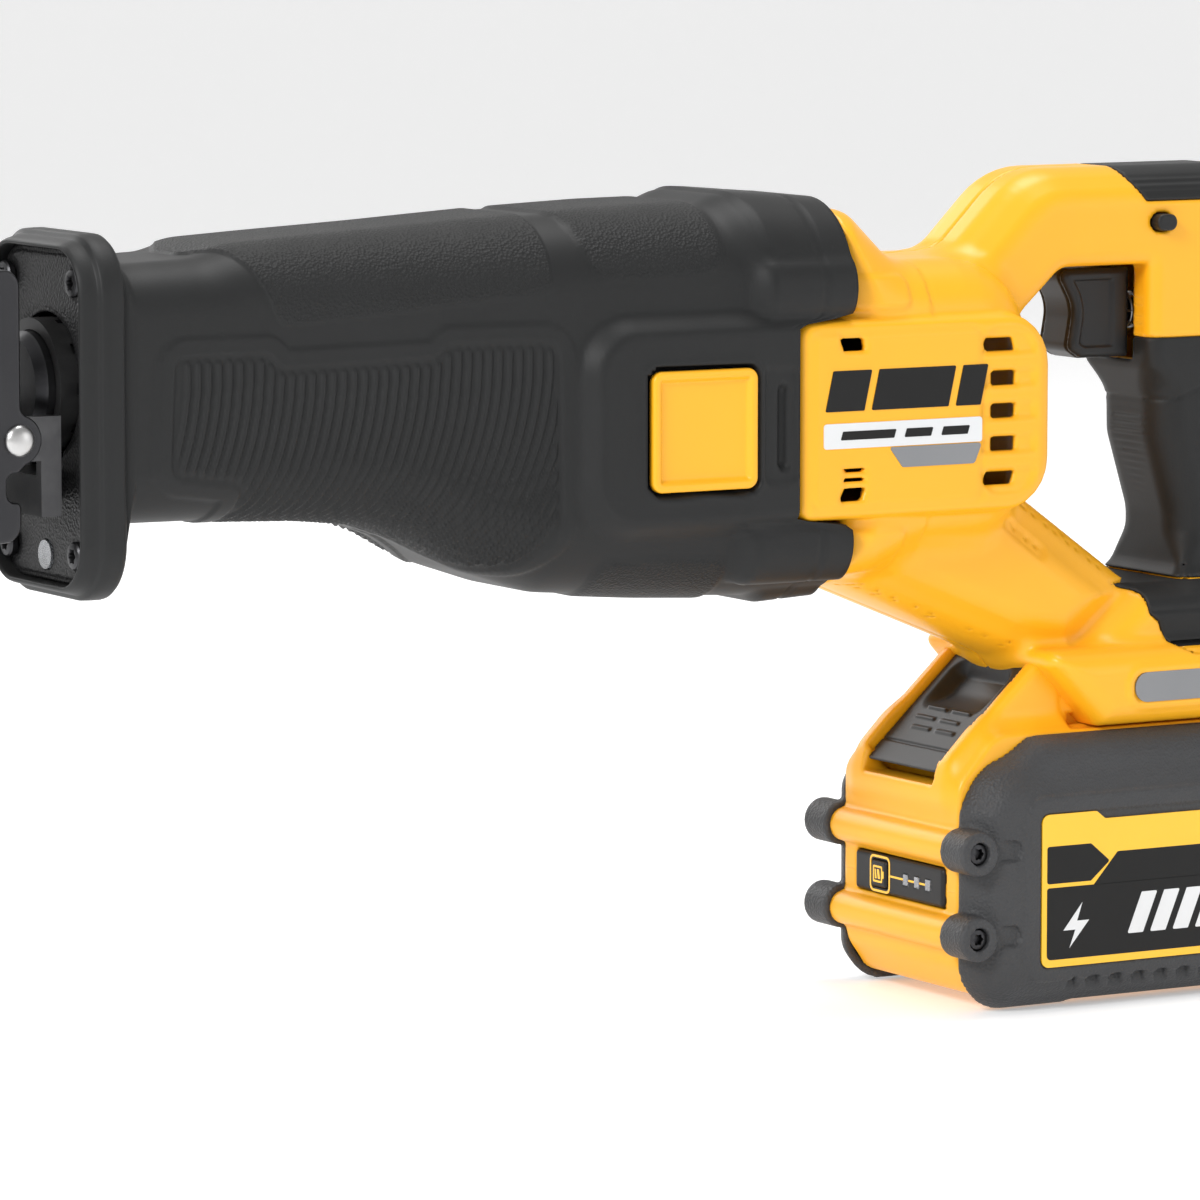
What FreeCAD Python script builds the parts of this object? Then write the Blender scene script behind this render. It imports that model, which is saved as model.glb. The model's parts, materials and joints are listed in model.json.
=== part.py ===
import FreeCAD, Part
import math
import os

V = FreeCAD.Vector

# Cordless reciprocating saw, millimetres. X runs along the saw with the blade end at -X,
# Y across it (the tool's left is -Y) and Z up. The origin is the centre of the flat base
# of the battery pack.

# ---------------------------------------------------------------- driving dimensions
# lines that everything else hangs on
motor_z = 178.0            # motor axis height
plunger_z = 193.0          # blade and plunger axis height
gear_x = -161.0            # crank gear axis
stroke = 28.6              # full stroke of the blade
running_gap = 0.05         # radial clearance of shafts in their bearings
slide_gap = 0.3            # clearance of parts that slide past each other
seat_gap = 0.2             # clearance of parts that are assembled into pockets

# outer boot: x, lowest z, highest z, half width, corner radius
boot_sections = [
    (-334.0, 155.5, 226.5, 31.0, 14.0), (-300.0, 154.5, 229.5, 31.5, 15.0),
    (-255.0, 151.9, 232.5, 33.0, 16.0), (-232.0, 142.3, 234.0, 35.0, 18.0),
    (-200.0, 129.4, 235.6, 39.0, 20.0), (-167.0, 126.7, 237.0, 41.5, 20.0),
    (-134.0, 124.8, 238.0, 41.5, 20.0), (-107.4, 122.0, 238.0, 39.0, 20.0)]
boot_wall = 3.0
gearcase_wall = 3.5
gearcase_rear = -122.0
gearcase_cover_thick = 6.0
collar_front, collar_step, collar_rear = -346.5, -342.0, -333.0
collar_low, collar_high, collar_half, collar_round = 135.0, 235.0, 32.0, 17.0
collar_wall = 4.0
collar_rim_step = 3.0      # how much the front rim is smaller than the collar

# nose plate and the bulkheads behind it
plate_front, plate_thick, flange_thick = -343.0, 3.0, 6.0
nose_hole_r = 20.0
front_bulkhead = (-306.0, -288.0)
rear_bulkhead = (-236.0, -214.0)
nose_screw_y, nose_screw_z = 21.0, (148.0, 222.0)
nose_screw_r = 2.0
seal_width = 4.0
lens_r, lens_z = 4.0, 146.5

# plunger, yoke and blade clamp
plunger_r = 8.0
plunger_front = -330.0
bushing_wall = 3.0
yoke_half_x, yoke_height = 10.5, 15.0
crank_pin_r, crank_roller_r = 3.5, 4.7
yoke_wall = 4.0
clamp_front, clamp_rear, clamp_r = -352.0, -324.0, 15.0
sleeve_r, sleeve_inner_r = 18.5, 15.3
sleeve_span, sleeve_notches = (-347.0, -328.0), 10
blade_slot = (1.8, 13.0, 22.0)      # thickness, height, depth

# gear pair
gear_teeth, pinion_teeth = 45, 9
gear_outer_r, gear_inner_r = 31.0, 24.0
gear_thick = 6.0
tooth_share = 0.38         # tooth thickness as a share of the pitch
addendum_share, dedendum_share = 0.8, 1.2
spindle_r, spindle_low = 6.0, 138.0
spindle_boss_r = 13.0
bearing_wall = 3.5

# shoe and its post
post_half, post_low, post_high = 9.0, 162.5, 170.5
post_front, post_rear = -352.0, -200.0
shoe_travel = 30.0
rack_pitch, rack_notch = 7.5, 4.5
shoe_front, shoe_thick, shoe_low, shoe_high, shoe_half = -377.5, 3.0, 147.0, 233.0, 27.3
shoe_flange_rear = -363.0
shoe_flange_thick = 2.5
pivot_x, pivot_z, pivot_r = -363.8, 180.7, 3.0
ear_thick, ear_r = 3.0, 7.0
blade_window = (7.0, 160.0, 226.0)  # half width, low, high

# shoe release button on the left side
button_x, button_z = (-175.9, -141.4), (158.3, 192.6)
button_face_y = 44.4
button_thick = 2.9
button_travel = 2.8
stem_r, stem_z, stem_in = 3.0, 185.0, 31.0
finger_x = (-206.0, -202.5)
button_mid_x = (button_x[0] + button_x[1]) / 2

# motor housing: x, lowest z, highest z, half width, corner radius
motor_sections = [
    (-107.4, 126.0, 231.0, 35.8, 18.0), (-92.0, 130.0, 223.0, 38.0, 22.0),
    (-77.0, 135.0, 220.0, 38.0, 24.0), (-54.0, 137.0, 220.0, 37.0, 24.0),
    (-37.0, 143.0, 213.0, 29.0, 20.0)]
housing_wall = 2.8
cheek_half, cheek_bevel = 42.0, 5.0
cheek_x, cheek_z = (-126.5, -38.5), (147.0, 204.5)

# D-handle: x, z, corner radius
handle_outline = [
    (-90.0, 150.0, 4.0), (-98.0, 128.0, 4.0), (-43.0, 106.0, 10.0), (-20.0, 88.0, 4.0),
    (76.5, 88.0, 3.0), (76.5, 106.0, 10.0), (70.0, 134.0, 30.0), (57.0, 243.8, 20.0),
    (-31.0, 243.8, 26.0), (-58.0, 217.0, 16.0), (-90.0, 208.0, 4.0)]
hand_outline = [
    (-38.5, 151.0, 8.0), (3.0, 121.0, 10.0), (21.3, 121.0, 6.0), (21.3, 140.0, 14.0),
    (14.2, 163.0, 14.0), (14.0, 174.0, 14.0), (9.5, 184.0, 4.0), (9.5, 215.0, 1.0),
    (-21.0, 215.0, 8.0), (-38.5, 199.0, 14.0)]
handle_half, handle_bevel = 20.0, 7.0
arm_outline = [
    (-98.0, 128.0, 3.0), (-43.0, 105.0, 8.0), (-22.0, 100.0, 3.0), (2.0, 119.0, 3.0),
    (-40.0, 149.0, 4.0), (-98.0, 160.0, 4.0)]
arm_half, arm_bevel = 27.0, 9.0
base_outline = [
    (-30.0, 94.0, 3.0), (76.5, 94.0, 3.0), (75.0, 117.0, 6.0), (60.0, 121.0, 6.0),
    (2.0, 121.0, 5.0)]
base_half, base_bevel = 29.0, 6.0
foot_outline = [
    (-17.5, 81.0, 2.0), (76.5, 81.0, 4.0), (76.5, 104.0, 6.0), (-39.0, 104.0, 3.0)]
foot_half, foot_bevel = 37.5, 5.0
skin = 1.6                 # rubber overmould thickness
top_skin_z, grip_skin_z = 233.3, (121.3, 193.0)
skin_front_x = 5.5
base_skin_z = (100.8, 121.0)

# motor
stator_r, stator_bore, stator_x = 30.0, 16.2, (-100.0, -66.0)
rotor_r, shaft_r, shaft_rear = 15.5, 4.0, -48.0
fan_r, fan_x, fan_blades = 29.0, (-114.0, -105.5), 13
bearing_r, bearing_width = 9.5, 7.0
front_bearing_x, rear_bearing_x = -122.5, -56.0

# trigger, lock-off bar and switch
trigger_outline = [
    (-17.0, 213.9, 2.0), (-11.2, 203.0, 9.0), (-12.6, 190.5, 3.0), (-8.0, 187.0, 2.0),
    (9.2, 187.0, 0.6), (9.2, 213.9, 0.6)]
trigger_half, trigger_travel = 9.0, 8.0
lock_x, lock_z, lock_size = 13.2, 227.4, (7.0, 5.0)
lock_proud, lock_travel = 2.4, 4.0
switch_x, switch_z, switch_half = (25.6, 52.0), (188.0, 212.0), 11.0

# housing screws, vents, terminals and control module
screw_spots = [(-24.0, 230.0), (44.0, 229.0), (58.0, 150.0), (62.0, 110.0), (-32.0, 112.0)]
screw_boss_r, screw_r, screw_head_r, screw_tip, screw_head_y = 3.6, 1.8, 3.2, 10.0, 12.0
vent_front, vent_rear, vent_size = -112.3, -52.6, (8.0, 4.4)
block_x, block_z, block_half = (38.2, 50.0), (82.0, 91.8), 20.0
blade_length = 16.0
module_x, module_z, module_half = (-10.0, 36.0), (96.0, 103.0), 23.0
screw_bore_r = 1.9
gauge_half, gauge_z = 24.0, (29.5, 41.5)

# battery pack
pack_front, pack_rear, pack_top = -65.0, 65.0, 80.5
pack_half, core_half = 43.5, 31.0
pack_wall, core_low = 2.5, 2.5
base_pad_x, base_pad_half = (-44.0, 46.0), 27.0   # raised flat under the pack
bumper_top, bumper_round = 73.5, 14.0
roll_z, roll_r, roll_x = (23.0, 48.0), 5.6, -65.4
tongue_half, neck_half, tongue_top, tongue_rear = 25.2, 21.6, 92.0, 37.6
groove = (81.0, 84.4)
tower_outline = [
    (-62.0, 60.0, 1.0), (-32.0, 60.0, 1.0), (-24.5, 64.0, 1.0), (-24.5, 100.5, 1.5),
    (-34.0, 100.5, 2.0), (-64.5, 72.5, 3.0), (-64.5, 64.0, 1.0)]
tower_half, latch_half = 25.4, 20.0
latch_slope = [(-32.5, 99.0), (-62.5, 71.5)]
latch_thick, latch_travel, spring_pit = 5.0, 4.0, 12.0
cell_r, cell_length, cell_pitch = 9.2, 65.0, 19.4
cell_columns, cell_rows, cell_low = 5, 3, 15.0
pack_travel = 90.0


# ---------------------------------------------------------------- shape helpers
def box(x, y, z):
    """A block from three (low, high) pairs."""
    return Part.makeBox(x[1] - x[0], y[1] - y[0], z[1] - z[0], V(x[0], y[0], z[0]))


def mid_box(x, half, z):
    """A block centred on the middle plane."""
    return box(x, (-half, half), z)


def cyl_x(x, r, y=0.0, z=plunger_z):
    return Part.makeCylinder(r, x[1] - x[0], V(x[0], y, z), V(1, 0, 0))


def cyl_y(y, r, x, z):
    return Part.makeCylinder(r, y[1] - y[0], V(x, y[0], z), V(0, 1, 0))


def cyl_z(z, r, x, y=0.0):
    return Part.makeCylinder(r, z[1] - z[0], V(x, y, z[0]), V(0, 0, 1))


def ring_x(x, r, hole, y=0.0, z=plunger_z):
    return cyl_x(x, r, y, z).cut(cyl_x((x[0] - 1, x[1] + 1), hole, y, z))


def mirrored(shape):
    """The same shape on the other side of the middle plane."""
    return shape.mirror(V(0, 0, 0), V(0, 1, 0))


def both(shape):
    return Part.makeCompound([shape, mirrored(shape)])


def fuse(*shapes):
    joined = shapes[0].fuse(list(shapes[1:])) if len(shapes) > 1 else shapes[0]
    return joined.removeSplitter()


def rounded_wire(x, low, high, half, radius):
    """A rounded rectangle across the saw, at one place along it."""
    r = max(radius, 0.5)
    q = r * (1 - math.sqrt(0.5))
    corners = [(half, low, -1, 1), (half, high, -1, -1), (-half, high, 1, -1), (-half, low, 1, 1)]
    points = []
    for number, (y, z, sy, sz) in enumerate(corners):
        a, m, b = V(x, y + sy * r, z), V(x, y + sy * q, z + sz * q), V(x, y, z + sz * r)
        points.append((a, m, b) if number % 2 == 0 else (b, m, a))
    edges = []
    for number, (a, m, b) in enumerate(points):
        edges.append(Part.Arc(a, m, b).toShape())
        edges.append(Part.LineSegment(b, points[(number + 1) % 4][0]).toShape())
    return Part.Wire(edges)


def section_at(sections, x):
    """One section of a tube between the listed ones, by straight interpolation."""
    for one, two in zip(sections, sections[1:]):
        if one[0] <= x <= two[0]:
            share = (x - one[0]) / (two[0] - one[0])
            return (x,) + tuple(a + share * (b - a) for a, b in zip(one[1:], two[1:]))
    near = sections[0] if x < sections[0][0] else sections[-1]
    return (x,) + near[1:]


def tube_solid(sections, x, inset=0.0):
    """The tube's solid between two stations, with its wall moved in by inset."""
    inner = [s for s in sections if x[0] < s[0] < x[1]]
    stations = [section_at(sections, x[0])] + inner + [section_at(sections, x[1])]
    wires = [rounded_wire(s[0], s[1] + inset, s[2] - inset, s[3] - inset, s[4] - inset)
             for s in stations]
    return Part.makeLoft(wires, True, True)


def outline_wire(points, y, inset=0.0):
    """A closed outline of straight runs and tangent arcs at one y, moved in by inset."""
    count = len(points)
    area = sum(points[i][0] * points[(i + 1) % count][1] - points[(i + 1) % count][0] * points[i][1]
               for i in range(count))
    turn = 1.0 if area > 0 else -1.0
    sides = []
    for i in range(count):
        a, b = points[i], points[(i + 1) % count]
        length = math.hypot(b[0] - a[0], b[1] - a[1])
        ux, uz = (b[0] - a[0]) / length, (b[1] - a[1]) / length
        nx, nz = -uz * turn, ux * turn
        sides.append((a[0] + nx * inset, a[1] + nz * inset, ux, uz))
    corners = []
    for i in range(count):
        px, pz, ux, uz = sides[i - 1]
        qx, qz, vx, vz = sides[i]
        cross = ux * vz - uz * vx
        t = ((qx - px) * vz - (qz - pz) * vx) / cross
        convex = cross * turn > 0
        radius = max(points[i][2] + (-inset if convex else inset), 0.4)
        angle = math.atan2(abs(cross), ux * vx + uz * vz)
        corners.append((px + ux * t, pz + uz * t, radius * math.tan(angle / 2), radius, angle,
                        ux, uz, vx, vz))
    arcs = []
    for cx, cz, tangent, radius, angle, ux, uz, vx, vz in corners:
        start, end = V(cx - ux * tangent, y, cz - uz * tangent), V(cx + vx * tangent, y, cz + vz * tangent)
        inward = V(vx - ux, 0, vz - uz)
        inward.normalize()
        depth = radius / math.cos(angle / 2) - radius
        arcs.append((start, V(cx, y, cz) + inward * depth, end))
    edges = []
    for i in range(count):
        edges.append(Part.Arc(*arcs[i]).toShape())
        edges.append(Part.LineSegment(arcs[i][2], arcs[(i + 1) % count][0]).toShape())
    return Part.Wire(edges)


def slab(points, half, bevel, inset=0.0):
    """A plate centred on the middle plane with bevelled edges."""
    half, steps = half - inset, []
    for y, extra in ((-half, bevel), (-half + bevel, 0.0), (half - bevel, 0.0), (half, bevel)):
        steps.append(outline_wire(points, y, inset + extra))
    return Part.makeLoft(steps, True, True)


def prism(points, y):
    """A straight prism of an outline between two y values."""
    face = Part.Face(outline_wire(points, y[0]))
    return face.extrude(V(0, y[1] - y[0], 0))


def window(points, half, bevel, inset=0.0):
    """The space of an opening whose edges are bevelled outwards, for cutting through a plate."""
    half, steps = half - inset, []
    over = 5.0
    for y, extra in ((-half - over, bevel), (-half, bevel), (-half + bevel, 0.0),
                     (half - bevel, 0.0), (half, bevel), (half + over, bevel)):
        steps.append(outline_wire(points, y, -(inset + extra)))
    return Part.makeLoft(steps, True, True)


def rect(x, z, r):
    """Corner list of a rounded rectangle for slab and prism."""
    return [(x[0], z[0], r), (x[1], z[0], r), (x[1], z[1], r), (x[0], z[1], r)]


def helix_spring(start, axis, length, mean_r, wire_r, turns):
    """A coil spring drawn as stacked flat rings joined by two straight wires."""
    rings = []
    pitch = (length - 2 * wire_r) / turns
    for number in range(turns + 1):
        centre = start + axis * (wire_r + number * pitch)
        rings.append(Part.makeTorus(mean_r, wire_r, centre, axis))
    side = axis.cross(V(0, 0, 1)) if abs(axis.z) < 0.9 else V(0, 1, 0)
    side.normalize()
    for sign in (-1, 1):
        foot = start + side * (mean_r * sign) + axis * wire_r
        rings.append(Part.makeCylinder(wire_r * 0.8, length - 2 * wire_r, foot, axis))
    return rings[0].fuse(rings[1:])


made = {}


def save(name, shape):
    if isinstance(shape, (list, tuple)):
        shape = Part.makeCompound(list(shape))
    for solid in shape.Solids:
        if not solid.isValid() or solid.Volume <= 0:
            raise ValueError("bad solid in " + name)
    made[name] = shape
    shape.exportStep("parts/" + name + ".step")


# ---------------------------------------------------------------- nose: boot, gearcase, plates
def nose_openings(grow=0.0):
    """What passes through the nose plate and the bulkheads: the shoe post's slot."""
    gap = slide_gap + grow
    return mid_box((collar_front - 5, post_rear + 10), post_half + gap, (post_low - gap, post_high + gap))


def flange_block(x, inset=0.0):
    low, high = collar_low + collar_wall + inset, collar_high - collar_wall - inset
    half, radius = collar_half - collar_wall - inset, collar_round - collar_wall - inset
    return Part.makeLoft([rounded_wire(v, low, high, half, radius) for v in x], True, True)


def cheek_block(grow=0.0):
    """The flat-sided cheeks of the motor housing, which reach forward under the boot's edge."""
    x, z = (cheek_x[0] - grow, cheek_x[1] + grow), (cheek_z[0] - grow, cheek_z[1] + grow)
    return slab(rect(x, z, 10.0), cheek_half + grow, cheek_bevel)


def make_boot():
    body = tube_solid(boot_sections, (boot_sections[0][0], boot_sections[-1][0]))
    step = collar_rim_step
    collar = Part.makeLoft([rounded_wire(v, collar_low, collar_high, collar_half, collar_round)
                            for v in (collar_step, collar_rear)], True, True)
    rim = Part.makeLoft([rounded_wire(v, collar_low + step, collar_high - step, collar_half - step,
                                      collar_round - step) for v in (collar_front, collar_step)], True, True)
    inner = tube_solid(boot_sections, (collar_rear - 2, boot_sections[-1][0] + 1), boot_wall)
    flange = flange_block((collar_front - 1, plate_front + plate_thick + flange_thick))
    button = box((button_x[0] - slide_gap, button_x[1] + slide_gap), (-60, -30),
                 (button_z[0] - slide_gap, button_z[1] + slide_gap))
    cheeks = cheek_block(seat_gap).cut(mid_box((-200, 0), boot_sections[-1][3] - boot_wall - 6, (100, 260)))
    return fuse(body, collar, rim).cut([inner, flange, button, cheeks])


def bulkhead_bores():
    return cyl_x((front_bulkhead[0] - 4, rear_bulkhead[1] + 1), plunger_r + bushing_wall)


def make_gearcase(spindle_top):
    flange_x = (plate_front + plate_thick, plate_front + plate_thick + flange_thick)
    body = tube_solid(boot_sections, (flange_x[0] + 2, gearcase_rear), boot_wall)
    cut_in = boot_wall + gearcase_wall
    chambers = [tube_solid(boot_sections, span, cut_in) for span in (
        (flange_x[0] - 1, front_bulkhead[0]), (front_bulkhead[1], rear_bulkhead[0]),
        (rear_bulkhead[1], gearcase_rear + 1))]
    body = fuse(body, flange_block(flange_x)).cut(chambers + [bulkhead_bores(), nose_openings()])
    floor = section_at(boot_sections, gear_x)[1] + boot_wall + 1.5
    post = cyl_z((floor, spindle_top), spindle_boss_r, gear_x)
    post = post.cut(cyl_z((spindle_low - 1, spindle_top + 1), spindle_r + bearing_wall, gear_x))
    body = body.fuse(post)
    stem = cyl_y((-60, -30), stem_r + running_gap, button_mid_x, stem_z)
    holes = [cyl_x((flange_x[0] - 1, flange_x[1] - 1), nose_screw_r, y, z)
             for y in (-nose_screw_y, nose_screw_y) for z in nose_screw_z]
    return body.cut([stem] + holes)


def make_nose_plate():
    plate = flange_block((plate_front, plate_front + plate_thick), seat_gap)
    holes = [cyl_x((plate_front - 1, plate_front + 4), nose_screw_r + seat_gap, y, z)
             for y in (-nose_screw_y, nose_screw_y) for z in nose_screw_z]
    lens = cyl_x((plate_front - 1, plate_front + 4), lens_r + running_gap, 0.0, lens_z)
    clamp_hole = cyl_x((plate_front - 1, plate_front + 4), nose_hole_r)
    return plate.cut([clamp_hole, nose_openings(seat_gap), lens] + holes)


def screw_x(x_head, y, z, length, head_r, shank_r):
    """A screw that points towards +X, with a hexalobular recess in its head."""
    head = cyl_x((x_head, x_head + head_r * 0.6), head_r, y, z)
    shank = cyl_x((x_head + head_r * 0.6, x_head + length), shank_r, y, z)
    recess = cyl_x((x_head - 1, x_head + head_r * 0.35), head_r * 0.42, y, z)
    return head.fuse(shank).cut(recess)


def screw_y(y_head, x, z, length, head_r, shank_r):
    """A screw that points towards +Y."""
    head = cyl_y((y_head, y_head + head_r * 0.6), head_r, x, z)
    shank = cyl_y((y_head + head_r * 0.6, y_head + length), shank_r, x, z)
    recess = cyl_y((y_head - 1, y_head + head_r * 0.35), head_r * 0.42, x, z)
    return head.fuse(shank).cut(recess)


def make_nose_screws():
    length = plate_thick + flange_thick - 1.5 + nose_screw_r
    return [screw_x(plate_front - nose_screw_r * 1.2, y, z, length, nose_screw_r * 2.0, nose_screw_r - 0.05)
            for y in (-nose_screw_y, nose_screw_y) for z in nose_screw_z]


def make_bushings():
    front = ring_x((front_bulkhead[0] + seal_width, front_bulkhead[1]), plunger_r + bushing_wall,
                   plunger_r + running_gap)
    rear = ring_x(rear_bulkhead, plunger_r + bushing_wall, plunger_r + running_gap)
    seal = ring_x((front_bulkhead[0] - 1.0, front_bulkhead[0] + seal_width), plunger_r + bushing_wall,
                  plunger_r + running_gap)
    return [front, rear], seal


# ---------------------------------------------------------------- plunger, clamp, shoe
def make_plunger():
    slot_half = crank_roller_r + running_gap
    reach = stroke / 2 + slot_half + yoke_wall
    low, high = plunger_z - yoke_height / 2, plunger_z + yoke_height / 2
    yoke = mid_box((gear_x - yoke_half_x, gear_x + yoke_half_x), reach, (low, high))
    slot = mid_box((gear_x - slot_half, gear_x + slot_half), stroke / 2 + slot_half, (low - 1, high + 1))
    shaft = cyl_x((plunger_front, gear_x - slot_half - 1), plunger_r)
    return fuse(yoke, shaft).cut(slot)


def make_clamp():
    step = clamp_front + 3.0
    bevel = Part.makeCone(clamp_r, clamp_r - 1.8, step - clamp_front, V(step, 0, plunger_z), V(-1, 0, 0))
    body = fuse(bevel, cyl_x((step, clamp_rear), clamp_r))
    thick, high, depth = blade_slot
    slot_z = (plunger_z - high / 2, plunger_z + high / 2)
    slot = mid_box((clamp_front - 1, clamp_front + depth), thick / 2, slot_z)
    return body.cut([slot, cyl_x((plunger_front, clamp_rear + 1), plunger_r)])


def make_sleeve():
    ring = ring_x(sleeve_span, sleeve_r, sleeve_inner_r)
    depth = (plunger_z + sleeve_r - 1.2, plunger_z + sleeve_r + 5.0)
    for number in range(sleeve_notches):
        angle = (number + 0.5) * 360.0 / sleeve_notches
        notch = mid_box((sleeve_span[0] + 5, sleeve_span[1] + 1), 1.6, depth)
        notch.rotate(V(0, 0, plunger_z), V(1, 0, 0), angle)
        ring = ring.cut(notch)
    return ring


def pivot_hull(y, rear, low, high, radius):
    """A plate round the shoe pivot that runs back to a straight edge."""
    disc = cyl_y(y, radius, pivot_x, pivot_z)
    return fuse(disc, box((pivot_x, rear), y, (low, high)))


def make_post():
    bar = mid_box((post_front, post_rear), post_half, (post_low, post_high))
    for number in range(5):
        x = finger_x[0] - 0.5 - number * rack_pitch
        side = (post_half - 2.5, post_half + 1)
        bar = bar.cut(box((x, x + rack_notch), side, (post_low - 1, post_high + 1)))
    ear_out = shoe_half - shoe_flange_thick - slide_gap
    ear_in = ear_out - ear_thick
    web = mid_box((post_front - 4.0, post_front + 2.0), ear_out, (post_low - 3.0, post_high))
    ears = [pivot_hull(y, post_front + 2.0, post_low - 3.0, pivot_z + ear_r - 1, ear_r)
            for y in ((-ear_out, -ear_in), (ear_in, ear_out))]
    bore = cyl_y((-50, 50), pivot_r, pivot_x, pivot_z)
    trim = mid_box((pivot_x - 10, post_front - 4.0), 50, (post_low - 5, pivot_z - ear_r + 1))
    return fuse(bar, web, *ears).cut([bore, trim])


def make_rivets():
    ear_in = shoe_half - shoe_flange_thick - slide_gap - ear_thick
    shank = cyl_y((-shoe_half - 0.1, -ear_in), pivot_r, pivot_x, pivot_z)
    tail = cyl_y((-ear_in, -ear_in + 1.5), pivot_r + 1.2, pivot_x, pivot_z)
    head = Part.makeSphere(6.0, V(pivot_x, -shoe_half - 0.1 + 3.7, pivot_z))
    head = head.common(cyl_y((-shoe_half - 5, -shoe_half - 0.1), 4.4, pivot_x, pivot_z))
    rivet = fuse(shank, tail, head)
    return [rivet, mirrored(rivet)]


def make_shoe():
    span = (shoe_front, shoe_front + shoe_thick)
    plate = Part.makeLoft([rounded_wire(x, shoe_low, shoe_high, shoe_half, 7.0) for x in span], True, True)
    half, low, high = blade_window
    plate = plate.cut(mid_box((shoe_front - 1, shoe_front + 5), half, (low, high)))
    flange = box((shoe_front + 1, shoe_flange_rear), (-shoe_half, -shoe_half + shoe_flange_thick),
                 (shoe_low + 6.0, shoe_high - 6.0))
    ear = cyl_y((-shoe_half, -shoe_half + shoe_flange_thick), ear_r, pivot_x, pivot_z)
    side = fuse(flange, ear).cut(cyl_y((-50, 50), pivot_r + running_gap, pivot_x, pivot_z))
    return fuse(plate, side, mirrored(side))


def make_release_button():
    face = -button_face_y
    plate = box(button_x, (face, face + button_thick), button_z)
    mid = ((button_x[0] + button_x[1]) / 2, (button_z[0] + button_z[1]) / 2)
    dish = Part.makeSphere(60.0, V(mid[0], face - 58.8, mid[1]))
    return plate.cut(dish)


def make_latch_bar():
    """Stem behind the release button, bar along the gearcase and a finger under the post."""
    stem = cyl_y((-button_face_y + button_thick, -stem_in + 2.0), stem_r, button_mid_x, stem_z)
    y = (-stem_in, -stem_in + 3.0)
    head = box((button_mid_x - 7, button_mid_x + 6), y, (stem_z - 6, stem_z + 6))
    run = box((finger_x[0], button_mid_x), y, (stem_z - 5, stem_z + 5))
    drop = box(finger_x, y, (post_low - 8, stem_z + 5))
    under = box(finger_x, (y[0], post_half + 4.0), (post_low - 8, post_low - 1.0))
    tooth = box(finger_x, (post_half + 0.6, post_half + 4.0), (post_low - 2, post_high))
    return fuse(stem, head, run, drop, under, tooth)


# ---------------------------------------------------------------- crank gear and motor
def wedge_tooth(r_low, r_high, root, tip, wide_root, wide_tip):
    """A straight bevel tooth along +X between two radii: heights and widths scale outwards."""
    wires = []
    for r in (r_low, r_high):
        share = r / r_high
        zr, zt = root(r), tip(r)
        wr, wt = wide_root * share / 2, wide_tip * share / 2
        corners = [V(r, -wr, zr), V(r, wr, zr), V(r, wt, zt), V(r, -wt, zt)]
        wires.append(Part.makePolygon(corners + corners[:1]))
    return Part.makeLoft(wires, True, True)


def gear_numbers():
    ratio = pinion_teeth / gear_teeth
    module = 2 * gear_outer_r / gear_teeth
    return ratio, module


def make_drive_gear():
    """Bevel gear about the upright crank axis, teeth facing up towards the motor axis."""
    ratio, module = gear_numbers()
    pitch_low = lambda r: motor_z - r * ratio
    outer_pitch = math.pi * module
    add, ded = addendum_share * module, dedendum_share * module
    root = lambda r: pitch_low(r) - ded * r / gear_outer_r
    tip = lambda r: pitch_low(r) + add * r / gear_outer_r
    floor = root(gear_outer_r)
    low = floor - gear_thick
    profile = Part.makePolygon([V(0, 0, low), V(gear_outer_r, 0, low), V(gear_outer_r, 0, root(gear_outer_r)),
                                V(gear_inner_r, 0, root(gear_inner_r)), V(gear_inner_r - 1.5, 0, floor),
                                V(0, 0, floor), V(0, 0, low)])
    blank = Part.Face(profile).revolve(V(0, 0, 0), V(0, 0, 1), 360)
    slope = math.tan(math.radians(20.0))
    wide = outer_pitch * tooth_share
    teeth = []
    for number in range(gear_teeth):
        tooth = wedge_tooth(gear_inner_r, gear_outer_r, lambda r: root(r) - 0.2, tip,
                            wide + 2 * ded * slope, wide - 2 * add * slope)
        tooth.rotate(V(0, 0, 0), V(0, 0, 1), (number + 0.5) * 360.0 / gear_teeth)
        teeth.append(tooth)
    gear = blank.fuse(teeth)
    gear = gear.cut([cyl_z((low - 1, floor + 1), spindle_r, 0.0),
                     cyl_z((low - 1, floor + 1), crank_pin_r, 0.0, -stroke / 2)])
    gear.translate(V(gear_x, 0, 0))
    return gear, low, floor


def make_pinion():
    ratio, module = gear_numbers()
    pitch_r = lambda r: r * ratio
    add, ded = addendum_share * module, dedendum_share * module
    root = lambda r: pitch_r(r) - ded * r / gear_outer_r
    tip = lambda r: pitch_r(r) + add * r / gear_outer_r
    inner, outer = gear_inner_r + 0.3, gear_outer_r
    blank = Part.makeCone(root(inner), root(outer), outer - inner, V(inner, 0, 0), V(1, 0, 0))
    collar = cyl_x((outer, outer + 2.0), root(outer), 0.0, 0.0)
    slope = math.tan(math.radians(20.0))
    wide = math.pi * module * tooth_share
    teeth = []
    for number in range(pinion_teeth):
        tooth = wedge_tooth(inner, outer, lambda r: root(r) * 0.8, tip,
                            wide + 2 * ded * slope, wide - 2 * add * slope)
        tooth.rotate(V(0, 0, 0), V(1, 0, 0), 180.0 + number * 360.0 / pinion_teeth)
        teeth.append(tooth)
    pinion = fuse(blank.fuse(teeth), collar).cut(cyl_x((inner - 1, outer + 3), shaft_r - 1.0, 0.0, 0.0))
    pinion.translate(V(gear_x, 0, motor_z))
    return pinion


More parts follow.
